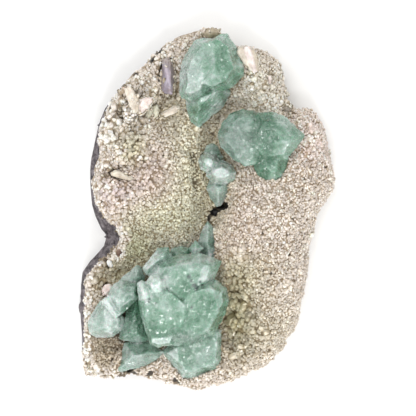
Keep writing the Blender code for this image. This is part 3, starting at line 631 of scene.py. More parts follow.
PAIR = (
    Crystal(  # left
        ((4.8, 26.5), (10.9, 20.1), (16.0, 17.4), (22.0, 18.5), (26.1, 26.1),
         (24.3, 37.4), (20.0, 42.4), (15.2, 42.9), (9.6, 40.7), (5.6, 36.4), (3.7, 30.4)),
        35, 42.5, rise=57, fall=68, frost=0.3,
        cuts=((12.0, 31.5, 41.6, -140, 13, 0.05), (13.0, 35.0, 41.8, 80, 17, -0.05),
              # the cut facing -90 at 30.5 degrees is a glint facet, its added frost a painted
              # highlight
              (16.0, 30.0, 41.6, 5, 12, 0.0), (15.0, 20.4, 37.2, -90, 30.5, 0.2))),
    Crystal(  # right
        ((17.4, 31.7), (18.3, 22.6), (23.5, 19.6), (33.9, 20.0), (38.0, 24.6),
         (42.3, 30.9), (33.9, 39.1), (28.7, 41.6), (20.3, 41.0)),
        36, 43.5, rise=55, fall=68, frost=0.24,
        cuts=((31.0, 31.0, 43.0, 30, 13, 0.05), (30.0, 30.0, 43.0, -155, 14, -0.1),
              # the cuts facing -91 and -98 are glint facets, their added frost a painted highlight
              (29.0, 25.4, 41.2, -91, 31, 0.3), (22.0, 23.6, 40.5, -98, 30, 0.3),
              (35.0, 25.6, 41.0, -50, 33, 0.15))),
    Crystal(  # grown between the two, clear
        ((15.5, 30.0), (17.0, 23.0), (22.0, 21.0), (29.0, 24.0), (31.0, 33.0), (27.0, 40.0),
         (19.0, 41.0)),
        36, 45, rise=74, fall=74, frost=0.16, wave=0.1,
        cuts=((22.0, 31.0, 40.6, -165, 5, 0.0), (26.0, 31.0, 40.9, 15, 3, 0.0),
              # the cut facing -92 is a glint facet, its added frost a painted highlight
              (22.5, 24.6, 40.2, -92, 30, 0.25), (24.0, 37.5, 40.0, 95, 22, 0.0)),
        stripe=(88, 2.2, 0.15)),
    Crystal(  # front
        ((21.3, 14.0), (25.6, 10.9), (29.3, 10.2), (33.3, 12.5), (35.7, 20.8),
         (33.3, 26.4), (21.0, 26.4), (18.3, 21.0)),
        31, 36.5, rise=50, fall=72, lean=(0, 0.05), top_lean=(0, 0.2), frost=0.3),
)
TRIO = (
    Crystal(  # back
        ((-1.5, 19.0), (4.5, 18.4), (7.2, 22.0), (4.2, 27.0), (2.2, 28.3), (-0.6, 27.3),
         (-2.2, 24.2)),
        24, 29, rise=50, fall=80, top_lean=(-0.1, 0.1), frost=0.55),
    Crystal(  # middle, its left lump
        ((-4.6, 20.1), (-3.6, 16.6), (-0.5, 14.6), (3.2, 15.2), (5.6, 19.0), (3.6, 23.6),
         (-0.6, 24.3), (-3.4, 23.0)),
        27.5, 37, rise=66, frost=0.8, wave=0.2, stripe=(-20, 0.9, 0.2),
        cuts=((-1.2, 20.6, 34.0, 165, 22, 0.05), (1.0, 18.0, 33.9, -40, 20, 0.15),
              # the cut facing -87 is a glint facet, its added frost a painted highlight
              (0.8, 21.6, 34.1, 60, 20, 0.0), (-1.4, 17.2, 33.4, -87, 30, 0.2))),
    Crystal(  # middle, its right lump
        ((-1.3, 13.6), (2.6, 9.7), (8.5, 9.7), (12.2, 12.0), (12.6, 15.1), (10.6, 18.6),
         (6.0, 21.0), (0.5, 18.6)),
        27, 37, rise=66, frost=0.7, wave=0.2, stripe=(25, 0.9, 0.2),
        cuts=((4.8, 15.0, 34.3, -88, 12, 0.15), (9.0, 14.2, 33.8, -15, 22, 0.0),
              (6.5, 17.5, 34.4, 75, 18, 0.0), (2.0, 14.5, 33.5, -155, 24, 0.1),
              # the cut facing -86 is a glint facet, its added frost a painted highlight
              (5.0, 12.2, 33.8, -86, 30, 0.2))),
    Crystal(  # front
        ((0.0, 5.1), (3.8, -0.7), (6.3, 1.0), (10.8, 8.6), (10.2, 13.0), (0.7, 12.6),
         (-0.9, 8.0)),
        22, 30, rise=50, fall=78, lean=(0, 0.1), top_lean=(0, 0.1), frost=0.62,
        cuts=((4.6, 6.0, 28.8, -95, 14, 0.05),)),
)
TOP_GROUP = (
    Crystal(  # left, frosted
        ((-12.7, 57.9), (-12.7, 50.0), (-11.9, 46.8), (-7.6, 46.0), (-1.8, 47.5),
         (3.5, 54.0), (7.8, 64.4), (3.9, 73.1), (-2.2, 73.7), (-6.0, 72.6), (-11.5, 63.5)),
        33, 43.5, rise=64, fall=72, frost=0.46,
        cuts=((-5.0, 58.0, 42.0, -175, 14, 0.1), (-2.0, 58.0, 42.6, 15, 9, -0.05),
              # the cut facing -88 is a glint facet, its added frost a painted highlight
              (-7.0, 50.0, 39.3, -88, 32, 0.2), (-3.0, 68.5, 41.0, 105, 20, 0.05))),
    Crystal(  # right, darker
        ((-1.7, 60.1), (1.7, 49.3), (10.4, 51.4), (15.8, 57.3), (15.9, 61.2),
         (12.5, 69.9), (8.6, 75.7), (5.5, 75.6), (0.0, 71.8)),
        32, 42, rise=58, fall=70, frost=0.36,
        cuts=((8.0, 60.0, 41.2, 10, 16, -0.1), (5.0, 55.0, 40.8, -70, 22, 0.0),
              (5.5, 65.0, 41.4, 100, 12, 0.0))),
    Crystal(  # grown between the two
        ((-6.0, 53.0), (2.0, 50.5), (9.0, 53.5), (12.0, 60.0), (9.5, 70.0), (4.0, 73.5),
         (-3.0, 71.0), (-7.0, 61.0)),
        37, 50, rise=76, fall=76, frost=0.36,
        cuts=((1.5, 60.0, 42.0, -175, 8, 0.1), (4.0, 60.0, 42.0, 5, 9, -0.08),
              (2.0, 55.0, 41.8, -70, 16, 0.05)), stripe=(75, 2.0, 0.12)),
    Crystal(  # front, striated
        ((-8.7, 38.2), (-5.8, 35.5), (-3.7, 34.7), (6.8, 43.8), (10.3, 49.6),
         (9.9, 54.6), (1.8, 55.4), (-8.0, 51.9), (-10.1, 45.7)),
        26, 36.5, fall=72, lean=(-0.05, 0.12), frost=0.55,
        cuts=((0.0, 45.0, 34.6, -60, 20, 0.1), (-4.5, 43.0, 33.8, -110, 24, 0.0)),
        stripe=(50, 0.8, 0.42)),
)
VEILS_AND_PAINTED_LIGHT = (  # veils and clear windows, with a few painted highlights and one spot of painted light: x, y, reach across and along, mm, frost added
    # (-26.2, -25.2), (-24.3, -22.6) and (-22.6, -20.3) paint a streak of highlight on the clear
    # upper-left crystal
    (-26.2, -25.2, 1.3, 1.3, 0.7), (-24.3, -22.6, 1.2, 1.4, 0.7), (-22.6, -20.3, 1.1, 1.2, 0.6),
    (-8.0, -22.6, 9.0, 1.5, 0.25), (-24.0, -53.0, 5.0, 6.0, -0.22),
    (-2.0, -44.0, 7.0, 8.0, -0.12), (-19.0, -47.0, 2.4, 8.0, 0.12),
    (-35.0, -33.0, 3.0, 3.0, 0.15), (4.0, -57.0, 3.0, 6.0, 0.1), (-30.0, -66.0, 6.0, 3.0, 0.2),
    # (23.5, 23.3) paints a highlight along the pair's lower edge
    (23.5, 23.3, 4.5, 1.8, 0.45), (13.0, 23.0, 5.0, 2.2, -0.25), (29.0, 14.0, 6.0, 6.0, -0.2),
    (-5.5, -18.0, 2.5, 2.5, 0.2), (20.0, 22.0, 4.0, 3.0, -0.1), (24.0, 30.5, 3.4, 8.0, -0.95),
    (8.8, 57.0, 3.2, 8.5, -0.15), (-5.4, 39.5, 4.0, 4.0, -0.5), (-33.6, -46.0, 3.0, 6.0, -0.4),
    (-23.0, -44.0, 3.0, 2.4, -0.15), (-18.5, -42.0, 3.6, 2.0, 0.3),
    (-12.2, -42.2, 3.0, 1.4, 0.15), (-36.6, -49.6, 2.0, 2.4, 0.3),
    (-43.4, -49.5, 1.1, 5.0, 0.3), (12.0, 37.5, 8.0, 2.2, 0.15), (-9.0, 58.0, 3.0, 6.0, 0.15),
    (-12.0, -24.2, 6.0, 1.4, 0.2), (4.0, -40.0, 3.0, 8.0, -0.1), (-9.0, -56.0, 6.5, 2.2, -0.45),
    # (-36.0, -62.0) is painted light: it lightens the top of the crystal towards the near corner
    # where the crystals beside it shade it
    (-36.0, -62.0, 5.0, 2.5, 0.35), (1.5, -29.5, 3.0, 3.0, 0.4), (-24.5, -30.0, 3.0, 3.0, 0.25),
    (-19.5, -35.0, 3.0, 2.5, 0.2), (-5.6, -18.0, 3.0, 3.0, -0.15),
)
SMOKE = (  # where a crystal is smoky grey: x, y, reach across and along, mm, strength
    (-12.5, -20.0, 3.4, 2.6, 0.3), (-9.0, -56.0, 6.5, 2.2, 0.45),
    (-30.0, -26.5, 3.0, 3.0, 0.35), (12.0, 29.0, 6.5, 9.0, 0.85), (2.0, 25.5, 3.5, 3.0, 0.3),
    (0.0, -15.0, 4.0, 9.0, 0.4), (-46.0, -50.0, 6.0, 7.0, 0.3), (-30.0, -67.0, 9.0, 5.0, 0.7),
    (-4.0, -66.0, 8.0, 8.0, 0.3), (-35.0, -32.0, 5.0, 6.0, 0.45), (-8.0, 58.0, 4.0, 12.0, 0.35),
    (-22.0, -21.0, 5.0, 4.0, 0.4), (5.0, 6.0, 5.0, 6.0, 0.4), (-33.0, -52.0, 5.0, 6.0, 0.35),
    (33.0, 31.0, 7.0, 7.0, 0.2),
)
SPECKS = (  # dark inclusions near the surface: x, y and radius, mm
    (-8.2, -29.8, 0.8), (-7.1, -31.5, 0.6), (-5.8, -33.5, 0.9), (-5.0, -35.0, 0.7),
    (-4.4, -34.0, 0.5), (-3.4, -32.0, 0.6), (-2.6, -33.4, 0.5), (-25.0, -39.3, 0.5),
    (-25.3, -40.6, 0.4), (-7.0, -43.0, 0.6), (-22.4, -41.0, 0.4),
)


def spread(points, spots, fade):
    """The sum of soft round spots at each point; each is (x, y, reaches..., weight)."""
    total = np.zeros(len(points))
    for x, y, across, along, weight in spots:
        d2 = ((points[:, 0] - x) / across) ** 2 + ((points[:, 1] - y) / along) ** 2
        total += weight * np.exp(-(d2**fade) / 2)
    return total


seen = []
GRID = 0.42  # mm between the lattice's points
WIDE = ((0.46, 0.46, 0.9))  # for the largest group
for number, (name, crystals) in enumerate((("rosette", ROSETTE), ("pair", PAIR),
                                           ("trio", TRIO), ("top_group", TOP_GROUP))):
    step = WIDE if name == "rosette" else GRID
    points, faces, frosted = grown(crystals, step, 11 + 20 * number)
    frosted = np.clip(frosted + spread(points, VEILS_AND_PAINTED_LIGHT, 1), 0, 1.2)
    smoke = np.clip(spread(points, SMOKE, 1), 0, 1)
    speck = np.clip(spread(points, [(x, y, r, r, 1) for x, y, r in SPECKS], 2), 0, 1)
    piece("apophyllite_" + name + "_crystals", points, faces, green, "apophyllite",
          ["apophyllite_" + name], sharp=20, frost=frosted, speck=speck, smoke=smoke)
    seen.append((points, faces))

# %% [markdown]
# Here and there a pearly zeolite, most likely stilbite, stands in the druse: a lilac
# prism, fans of leaves and a few single ones. Its skin is silky, and a little light goes
# in and comes back warm. So a soft noise is multiplied into a colour stored at the
# points, with a fine bump over it, and some of the light is scattered under the skin.

# %% Stilbite finish
pearl, tree, shader = finish("stilbite_pearly")  # silky and a little translucent
place = node(tree, "TexCoord").outputs["Object"]
hue = node(tree, "Attribute", attribute_name="hue")
silk = node(tree, "TexNoise", ("Vector", place), Scale=420.0, Detail=4.0)
tone = ramp(tree, silk.outputs["Fac"], (0.3, "cfc8c2"), (0.7, "ffffff"))
tree.links.new(times(tree, hue.outputs["Color"], tone.outputs[0]), shader.inputs["Base Color"])
grain = node(tree, "TexNoise", ("Vector", place), Scale=1300.0, Detail=3.0)
bumped(tree, grain.outputs["Fac"], shader.inputs["Normal"], 0.3, 0.0003)
surface(shader, Roughness=0.34, IOR=1.50, Subsurface_Weight=0.6,
        Subsurface_Radius=(1.0, 0.85, 0.75), Subsurface_Scale=0.002)

# %% [markdown]
# Stilbite splits into thin leaves that stand in fans and sheaves. A leaf could be a
# profile carried along a path, but real ones have worn ends and grow into one another.
# So each leaf is a flat crystal with a bevelled rim and striae along it, grown together
# with its neighbours as the green ones are, on a finer lattice. It lies a little below
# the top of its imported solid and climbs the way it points.

# %% Stilbite crystals
TAN, CREAM, PINK, BROWN, OLIVE = "cdc5b6", "ddd6ca", "e6dad6", "9d968c", "d2d2c0"
STILBITES = {  # outline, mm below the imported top, thickness, way it points, slope, colour
    "fan": (
        (((-35.6, 48.2), (-34.1, 43.5), (-32.6, 39.8), (-30.2, 41.7), (-30.6, 45.6),
          (-31.9, 50.4), (-33.5, 52.8), (-36.5, 51.7)), 1.4, 2.0, 104, 0.13, CREAM),
        (((-31.9, 40.4), (-29.8, 41.3), (-29.3, 45.6), (-30.9, 48.9), (-33.5, 49.5)),
         1.5, 1.8, 95, 0.1, TAN),
        # this low leaf's grey-brown is partly its own colour and partly painted shade
        (((-36.5, 37.8), (-34.8, 35.6), (-32.2, 36.3), (-31.1, 39.1), (-32.2, 41.7),
          (-34.3, 44.1), (-36.7, 42.6)), 3.0, 2.2, -100, -0.1, BROWN),
        (((-30.5, 43.4), (-29.9, 40.1), (-28.2, 40.6), (-26.0, 43.0), (-23.7, 45.8),
          (-23.8, 47.9), (-26.9, 47.9), (-30.0, 47.0)), 1.2, 2.4, 50, 0.16, PINK),
    ),
    "blades": (
        (((-27.7, 40.5), (-26.4, 38.9), (-24.6, 40.2), (-24.0, 44.0), (-25.1, 45.5),
          (-27.3, 44.0)), 1.2, 1.8, 75, 0.2, OLIVE),
        (((-24.4, 41.3), (-23.7, 38.9), (-22.0, 40.0), (-20.9, 43.1), (-22.0, 45.1),
          (-24.2, 44.6)), 0.9, 1.8, 80, 0.2, OLIVE),
        (((-21.1, 39.6), (-18.9, 39.4), (-15.0, 40.9), (-12.1, 42.7), (-12.3, 44.4),
          (-14.5, 45.1), (-18.5, 43.3), (-21.3, 41.3)), 1.3, 2.6, 26, 0.14, CREAM),
    ),
    "far_end": (
        (((-2.6, 75.0), (0.0, 74.3), (3.9, 74.8), (5.9, 76.3), (4.8, 77.8), (2.2, 78.9),
          (-0.9, 78.6), (-3.1, 76.7)), 1.4, 3.0, 20, 0.12, "b9ae98"),
    ),
    "sheaf": (
        (((12.4, 66.8), (18.6, 58.2), (20.6, 57.8), (17.4, 65.0), (15.2, 69.9),
          (13.0, 69.6)), 1.1, 1.6, 122, 0.12, CREAM),
        (((15.6, 66.0), (20.2, 57.4), (21.4, 59.0), (19.8, 65.5), (18.0, 69.9),
          (15.4, 70.2)), 0.9, 1.6, 108, 0.1, "e8dedb"),
        (((18.6, 64.0), (20.6, 57.6), (22.2, 59.6), (21.8, 65.0), (20.0, 68.8),
          (18.2, 68.6)), 1.6, 1.6, 96, 0.1, TAN),
    ),
    "stub": (
        (((26.1, 55.5), (26.6, 53.5), (27.8, 53.8), (28.2, 56.0), (27.5, 57.7),
          (26.2, 57.3)), 0.9, 1.8, 95, 0.1, PINK),
    ),
    "brown": (
        (((32.9, 40.4), (35.1, 39.5), (37.1, 41.3), (36.9, 43.7), (34.7, 45.0),
          (32.5, 44.1)), 2.0, 3.0, 50, 0.15, BROWN),
    ),
    "left_blade": (
        (((-42.3, 13.7), (-39.0, 12.6), (-34.7, 11.2), (-31.9, 11.5), (-31.9, 12.8),
          (-35.6, 14.5), (-39.9, 16.3), (-42.7, 15.4)), 1.6, 2.2, -18, 0.0, TAN),
    ),
    "pink": (
        (((-47.0, -39.1), (-44.3, -39.7), (-41.7, -38.2), (-41.3, -35.1), (-42.8, -33.8),
          (-45.7, -33.7), (-47.5, -36.0)), 1.2, 4.0, 60, 0.05, "f6e2de"),
    ),
    "oval": (
        (((-44.9, -24.4), (-44.2, -26.2), (-42.7, -27.2), (-41.6, -26.4), (-42.0, -24.6),
          (-43.1, -23.2), (-44.4, -23.1)), 1.4, 2.6, -60, 0.0, "f8f2ee"),
    ),
}
perches = []
for number, (name, leaves) in enumerate(STILBITES.items()):
    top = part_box("stilbite_" + name)[1].z / MM
    parts, hues = [], []
    for outline, below, thick, way, slope, colour in leaves:
        tilt = (slope * math.cos(math.radians(way)), slope * math.sin(math.radians(way)))
        parts.append(Crystal(outline, top - below - 0.45 * thick, top - below, rise=44,
                             fall=82, lean=tilt, top_lean=tilt, root=top - below - 7,
                             wave=0.1, stripe=(way, 0.8, 0.3)))
        hues.append(linear(colour))
    points, faces, frosted = grown(parts, 0.28, 50 + 7 * number)
    mine = np.stack([depths(one, points).max(axis=1) for one in parts], axis=1).argmin(axis=1)
    # Painted shade: each leaf is darkened towards its foot. Frost, with its painted edge highlight,
    # lightens the colour.
    foot_shade = 0.3 * smooth((top - 2.4 - points[:, 2]) / 2.5)
    hue = np.array(hues)[mine] * ((0.76 + 0.6 * frosted) * (1 - foot_shade))[:, None]
    piece(f"stilbite_{name}_leaves", points, faces, pearl, "stilbite",
          ["stilbite_" + name], sharp=30, hue=np.clip(hue, 0, 0.95))
    seen.append((points, faces))
    perches.append((points, faces, top))

# %% [markdown]
# One prism is lilac, with a pale streak down it, and stands free in the far hollow. It
# is a crystal of the same kind with a low ridge along its top. Its colour is worked out
# at its points from the two sides and the streak, and fades towards its far end.

# %% The lilac prism
LILAC = Crystal(
    ((-20.9, 51.4), (-19.0, 49.4), (-15.6, 49.6), (-14.8, 52.0), (-14.9, 64.0),
     (-17.0, 66.2), (-20.3, 65.4)),
    23, 29.5, rise=72, fall=86, root=15.8, wave=0.08, stripe=(92, 0.7, 0.14),
    cuts=((-18.6, 57.0, 27.6, 180, 18, 0), (-17.2, 57.0, 27.6, 0, 24, 0),
          (-18.0, 51.6, 26.6, -100, 52, 0)))
points, faces, _ = grown((LILAC,), 0.3, 77)
middle = np.abs(points[:, 0] + 18.0 - (60.0 - points[:, 1]) * 0.2)  # a pale streak
pale = np.exp(-((middle / 0.9) ** 2))[:, None] * smooth((63 - points[:, 1:2]) / 3)
pinker = smooth((points[:, 0:1] + 18.0) / 1.5)
far = 0.5 * smooth((points[:, 1:2] - 60) / 6)  # the far half is under cream grains
hue = linear("a098a6") * (1 - pinker) + linear("aea2a8") * pinker
hue = hue * (1 - pale) + linear("cdc4d4") * pale
hue = hue * (1 - far) + linear("cfc6b8") * far
piece("stilbite_lilac_prism_faces", points, faces, pearl, "stilbite",
      ["stilbite_lilac_prism"], sharp=20, hue=hue)
seen.append((points, faces))
perches.append((points, faces, 26.5))

# %% [markdown]
# Heulandite covers the slab as a druse: coffin-shaped tablets 1.5 to 4 mm long, standing every way,
# glassy and cream to olive with a pink blush. Their tips are clear and bright and their feet are
# darker, partly stained and partly painted shade between the tablets, and a number stored up each
# tablet tells the finish how far up it is. The ground between them has a duller finish of its own.

# %% Druse finishes
druse, tree, shader = finish("heulandite_druse")  # glassy tablets, cream over olive
place = node(tree, "TexCoord").outputs["Object"]
hue = node(tree, "Attribute", attribute_name="hue")
tip = node(tree, "Attribute", attribute_name="tip")
# dark olive-brown at each tablet's foot to white at its tip: partly stain, partly painted shade in
# the gaps
depth = ramp(tree, tip.outputs["Fac"], (0.0, "7d7462"), (0.22, "c9c3b2"),
             (0.45, "f7f6f2"), (1.0, "ffffff"))
cloud = node(tree, "TexNoise", ("Vector", place), Scale=600.0, Detail=3.0)
milk = ramp(tree, cloud.outputs["Fac"], (0.35, "dcd7d1"), (0.62, "ffffff"))
shaded = times(tree, hue.outputs["Color"], depth.outputs[0])
tree.links.new(times(tree, shaded, milk.outputs[0]), shader.inputs["Base Color"])
surface(shader, Roughness=0.22, IOR=1.50, Subsurface_Weight=0.25,
        Subsurface_Radius=(1.0, 0.85, 0.6), Subsurface_Scale=0.0008)

bed, tree, shader = finish("heulandite_bed")  # the shaded ground between the tablets
place = node(tree, "TexCoord").outputs["Object"]
soil = node(tree, "TexNoise", ("Vector", place), Scale=500.0, Detail=5.0)
hue = node(tree, "Attribute", attribute_name="hue")
brown = ramp(tree, soil.outputs["Fac"], (0.33, "9a8f82"), (0.5, "d9d3ca"), (0.7, "ffffff"))
ground = times(tree, hue.outputs["Color"], brown.outputs[0])
tree.links.new(ground, shader.inputs["Base Color"])
bumped(tree, soil.outputs["Fac"], shader.inputs["Normal"], 1.0, 0.0008)
surface(shader, Roughness=0.55)

# %% [markdown]
# The druse isn't one colour: it blushes pink on the left dome and by the pair, turns olive in the
# hollows, where the darker olive is partly painted shade, and white along the left rim, partly as a
# painted highlight. A handful of soft round stains, each with a middle, two reaches and a colour,
# says so. A tablet takes its colour from the stains at its seat, a little lighter or darker by
# chance, paler on lumps and darker in dips as painted light and shade, and a few white as painted
# glints.

# %% Stains
GROUND = "e6dcd5"
STAINS_AND_HOLLOW_SHADE = (  # x, y, reach across and along, mm, colour, strength, coarser or finer
    # (12, -46), (-33, 27) and (-36, -31) are olive, and their darkness is partly painted shade in
    # the trough beside the rosette, the gap by the left dome and the slope down to the rosette
    (9, -8, 7, 14, "f0dcd9", 0.6, 0.0), (15, -29, 10, 7, "d0c9b2", 0.7, 0.0),
    (24, -54, 12, 10, "c4bea8", 0.6, 0.1), (12, -46, 6, 15, "b2ad8e", 0.9, 1.5),
    (-10, 14, 7, 20, "dedec8", 0.8, -0.2), (-26, 16, 8, 10, "dccbc7", 0.8, 0.6),
    (-41, 2, 8, 9, "e6d7d9", 0.9, 0.6), (-17, -5, 14, 6, "e3e4cd", 0.8, -0.2),
    (-42, 31, 6, 6, "fbf4ec", 0.8, 0.5), (-32, -18, 9, 8, "b6b996", 0.8, -0.2),
    (-46, -62, 8, 12, "ab9f8b", 0.85, 0.1), (-16, 62, 12, 10, "fbf2ec", 0.75, 0.6),
    (43, 30, 8, 8, "fdeae8", 0.8, 0.1), (24, 52, 11, 10, "fbf5ea", 0.85, 0.3),
    (-33, 27, 4, 6, "cdccaa", 0.8, 0.3), (-12, 44, 12, 8, "d3ceb8", 0.6, 0.3),
    (-38, 44, 8, 10, "fff8f4", 0.9, 1.1), (3, 15, 6, 16, "cfccac", 0.7, 0.0),
    (-36, -31, 8, 4, "a8a483", 0.8, 0.6), (-48, -33, 5, 6, "c9c4ac", 0.5, 0.6),
)
HOLES_AND_SHADED_GAPS = (  # bare basalt, and deep gaps painted dark as shade: x, y, reach across and along, depth, darkness
    (-42.7, 46.4, 1.6, 2.1, 1.0, 1.0), (-44.2, 42.8, 1.1, 1.2, 1.0, 1.0),
    (-44.6, 39.4, 1.5, 1.5, 1.0, 1.0), (-32.0, 59.1, 1.1, 1.5, 1.0, 1.0),
    (-25.1, 65.5, 1.4, 2.0, 1.2, 1.0), (-22.0, 69.8, 2.5, 2.1, 1.2, 1.0),
    (28.2, 67.5, 1.4, 1.3, 1.0, 1.0), (-33.8, -73.8, 2.8, 1.6, 1.2, 0.9),
    (-25.8, -73.6, 1.6, 1.5, 1.2, 0.9), (-14.2, -77.2, 1.8, 1.6, 1.2, 0.9),
    (-33.0, 28.0, 1.1, 6.5, 1.6, 0.45), (-5.6, 13.0, 1.7, 7.5, 2.0, 0.55),
    (6.2, 0.6, 3.0, 2.2, 3.0, 1.0), (2.8, -2.4, 2.0, 2.0, 2.5, 1.0),
    (0.4, -5.4, 1.2, 2.2, 2.0, 0.9), (-10.9, 57.0, 1.2, 6.0, 1.5, 0.5),
    (-21.6, 57.0, 0.9, 4.5, 1.5, 0.6), (4.6, 39.0, 1.4, 4.0, 1.5, 0.5),
    (-6.6, 21.5, 1.6, 3.6, 1.8, 0.6), (1.6, 31.0, 1.6, 2.6, 1.5, 0.5),
    (11.0, -60.0, 0.9, 1.4, 1.5, 0.6), (-41.0, -62.5, 3.0, 1.0, 1.5, 0.45),
)
PINHOLES = 110  # and these, about 1 mm wide, all over
pins = np.random.default_rng(8)
HOLES_AND_SHADED_GAPS += tuple(zip(*pins.uniform((-48, -76), (54, 76), (PINHOLES, 2)).T,
                   *pins.uniform(0.4, 0.9, (2, PINHOLES)), np.full(PINHOLES, 1.3),
                   pins.uniform(0.5, 0.9, PINHOLES)))
BUBBLES = (  # gas bubbles rimmed with white grains: x, y, radius
    (-35.4, -14.3, 0.8), (-39.6, -20.2, 1.8), (-37.0, 24.5, 0.7), (-30.5, 21.5, 0.6),
)
EDGE = np.array((  # the crust's broken edge on the left, white: partly pale grains, partly painted highlight
    (-40, 51), (-46.5, 38), (-48, 26), (-49, 17), (-50.5, 8), (-47, -3), (-40, -8),
    (-37, -13), (-39, -18), (-45, -22), (-52, -28), (-54, -37), (-54.5, -52), (-54, -66),
    (-50, -73), (-40, -74),
))


def from_edge(place):
    """How far each place is from the bleached edge, mm."""
    way = np.diff(EDGE, axis=0)
    apart = place[:, None, :2] - EDGE[:-1]
    t = np.clip((apart * way).sum(axis=2) / (way * way).sum(axis=1), 0, 1)
    return np.linalg.norm(apart - t[..., None] * way, axis=2).min(axis=1)


def stains_shade_and_rim_light(place):
    """Colour at each place: the ground's, mixed with each stain in turn by its strength
    times exp(-d^2 / 2), where d counts its reaches."""
    colour = np.tile(linear(GROUND), (len(place), 1))
    for x, y, across, along, hue, strength, _ in STAINS_AND_HOLLOW_SHADE:
        d2 = ((place[:, 0] - x) / across) ** 2 + ((place[:, 1] - y) / along) ** 2
        share = (strength * np.exp(-d2 / 2))[:, None]
        colour = colour * (1 - share) + linear(hue) * share
    # white along the left edge: partly pale grains, partly painted highlight
    white = 0.85 * smooth(1.6 - from_edge(place) / 2.2)
    for x, y, radius in BUBBLES:
        apart = np.hypot(place[:, 0] - x, place[:, 1] - y) / radius
        white = np.maximum(white, smooth(2.4 - apart))
    return colour * (1 - white[:, None]) + linear("fdf5f1") * white[:, None]

# %% [markdown]
# Under the tablets lies their bed. The imported crust's mesh is cut finer and swells in lumps of 2
# to 5 mm, climbs a little round the big crystals' feet, as druse does, and sinks where the basalt
# shows through, where a bubble is open and in deep gaps. Where it is bare it is painted dark:
# basalt, and in the gaps painted shade.

# %% The bed
def lumps_at(place):
    """How far the bed swells at each place, mm: small lumps, and coarser by the edge."""
    low = noise(place, 5.5, 41) * 0.55 + np.abs(noise(place, 2.8, 42)) * 0.7 - 0.25
    return low * (0.85 + 1.3 * smooth(coarseness(place) - 0.1))


def trimmed(place):
    """Whether a place is by the left or far left rim, where the druse doesn't swell."""
    x, y = place[:, 0], place[:, 1]
    return ((x < -38) & (y > -64)) | (y - x > 81)


def search_tree(pieces):
    """A search tree of the faces of several (points, faces), in mm."""
    points, faces, start = [], [], 0
    for p, f in pieces:
        points += p.tolist()
        faces += (f + start).tolist()
        start += len(p)
    return BVHTree.FromPolygons(points, faces)


def coarseness(place):
    """How coarse the druse is, 0 to 1: coarse by the left edge, fine elsewhere."""
    value = noise(place, 7.0, 8) * 0.5 + 0.2 + 0.5 * smooth(1.5 - from_edge(place) / 4)
    for x, y, across, along, *_, coarse in STAINS_AND_HOLLOW_SHADE:
        d2 = ((place[:, 0] - x) / across) ** 2 + ((place[:, 1] - y) / along) ** 2
        value = value + coarse * np.exp(-d2 / 2)
    return value


DOWN, UP = Vector((0.0, 0.0, -1.0)), Vector((0.0, 0.0, 1.0))
crust = search_tree([packed("heulandite_crust")])
falls = [crust.ray_cast(Vector((x, y, 60.0)), DOWN)[0] for x, y, *_ in HOLES_AND_SHADED_GAPS]
heights = [15.0 if hit is None else hit.z for hit in falls]  # 15 mm: off the crust's rim


def bared_and_shaded(place):
    """(how bare and dark each place is, the dark partly basalt and partly painted shade in the
    gaps, 0 to 1; how deep it has sunk, mm).
    """
    bare_and_shaded, sunk = np.zeros(len(place)), np.zeros(len(place))
    ragged = 1 + noise(place, 1.6, 60) * 0.3
    for (x, y, across, along, depth, dark), z in zip(HOLES_AND_SHADED_GAPS, heights):
        d2 = ((place[:, 0] - x) / across) ** 2 + ((place[:, 1] - y) / along) ** 2
        tall = 1.2 * max(across, along) + 0.8 + 2 * max(depth - 1.5, 0)
        d2 = (d2 + ((place[:, 2] - z) / tall) ** 2) * ragged
        bare_and_shaded = np.maximum(bare_and_shaded, dark * smooth(2.2 - 1.4 * d2))
        sunk = np.maximum(sunk, depth * np.exp(-d2))
    for x, y, radius in BUBBLES:
        d2 = ((place[:, 0] - x) ** 2 + (place[:, 1] - y) ** 2) / radius**2
        bare_and_shaded = np.maximum(bare_and_shaded, 0.8 * smooth(3 - 2 * d2))
        sunk = np.maximum(sunk, 1.2 * radius * np.exp(-(d2**2)))
    return bare_and_shaded, sunk


stone, minerals = search_tree([packed("basalt_matrix")]), search_tree(seen)
points, faces = refine(*packed("heulandite_crust"), 2)
out = normals_of(points, faces)
bare_and_shaded, sunk = bared_and_shaded(points)
reach = [minerals.find_nearest(Vector(p), 4.0)[3] for p in points.tolist()]
climb = smooth(1 - np.array([4.0 if r is None else r for r in reach]) / 3.5) * 1.9
clear = smooth(2.2 - 1.6 * np.hypot((points[:, 0] + 17.8) / 4.5, (points[:, 1] - 57) / 10))
climb *= 1 - 0.7 * clear  # the prism stands free
left = trimmed(points)
lumps = lumps_at(points) * np.where(left, 1, 2 - np.clip(out[:, 2], 0, 1))
lumps = (lumps + np.where(left, -0.35, 0.25)) * (1 - 0.8 * clear)
points = points + out * (lumps + climb * np.clip(out[:, 2], 0, 1) - sunk)[:, None]
# painted shade: the bare bed is darker still where it sinks deepest
dark = np.where((sunk > 1.3)[:, None], linear("1c191a"), linear("222020"))
for x, y, radius in BUBBLES:
    inside = np.hypot(points[:, 0] - x, points[:, 1] - y) < 1.4 * radius
    dark[inside] = linear("5c3129")
hue = stains_shade_and_rim_light(points) * linear("d0c6b3") * (1 - bare_and_shaded[:, None]) + dark * bare_and_shaded[:, None]
piece("heulandite_crust_bed", points, faces.tolist(), bed, "heulandite",
      ["heulandite_crust"], sharp=60, hue=hue)
crust_mesh = points, faces

# %% [markdown]
# A tablet needs ground to stand on and room above it. Seats are drawn on the bed in proportion to
# its area, one is kept in each small cube of space, and those that touch basalt or have another
# mineral close above them are dropped. The druse is coarse by the broken edge and in the near
# hollow, so larger sizes are let in there and small ones kept out. A few tablets that stand out are
# listed one by one.

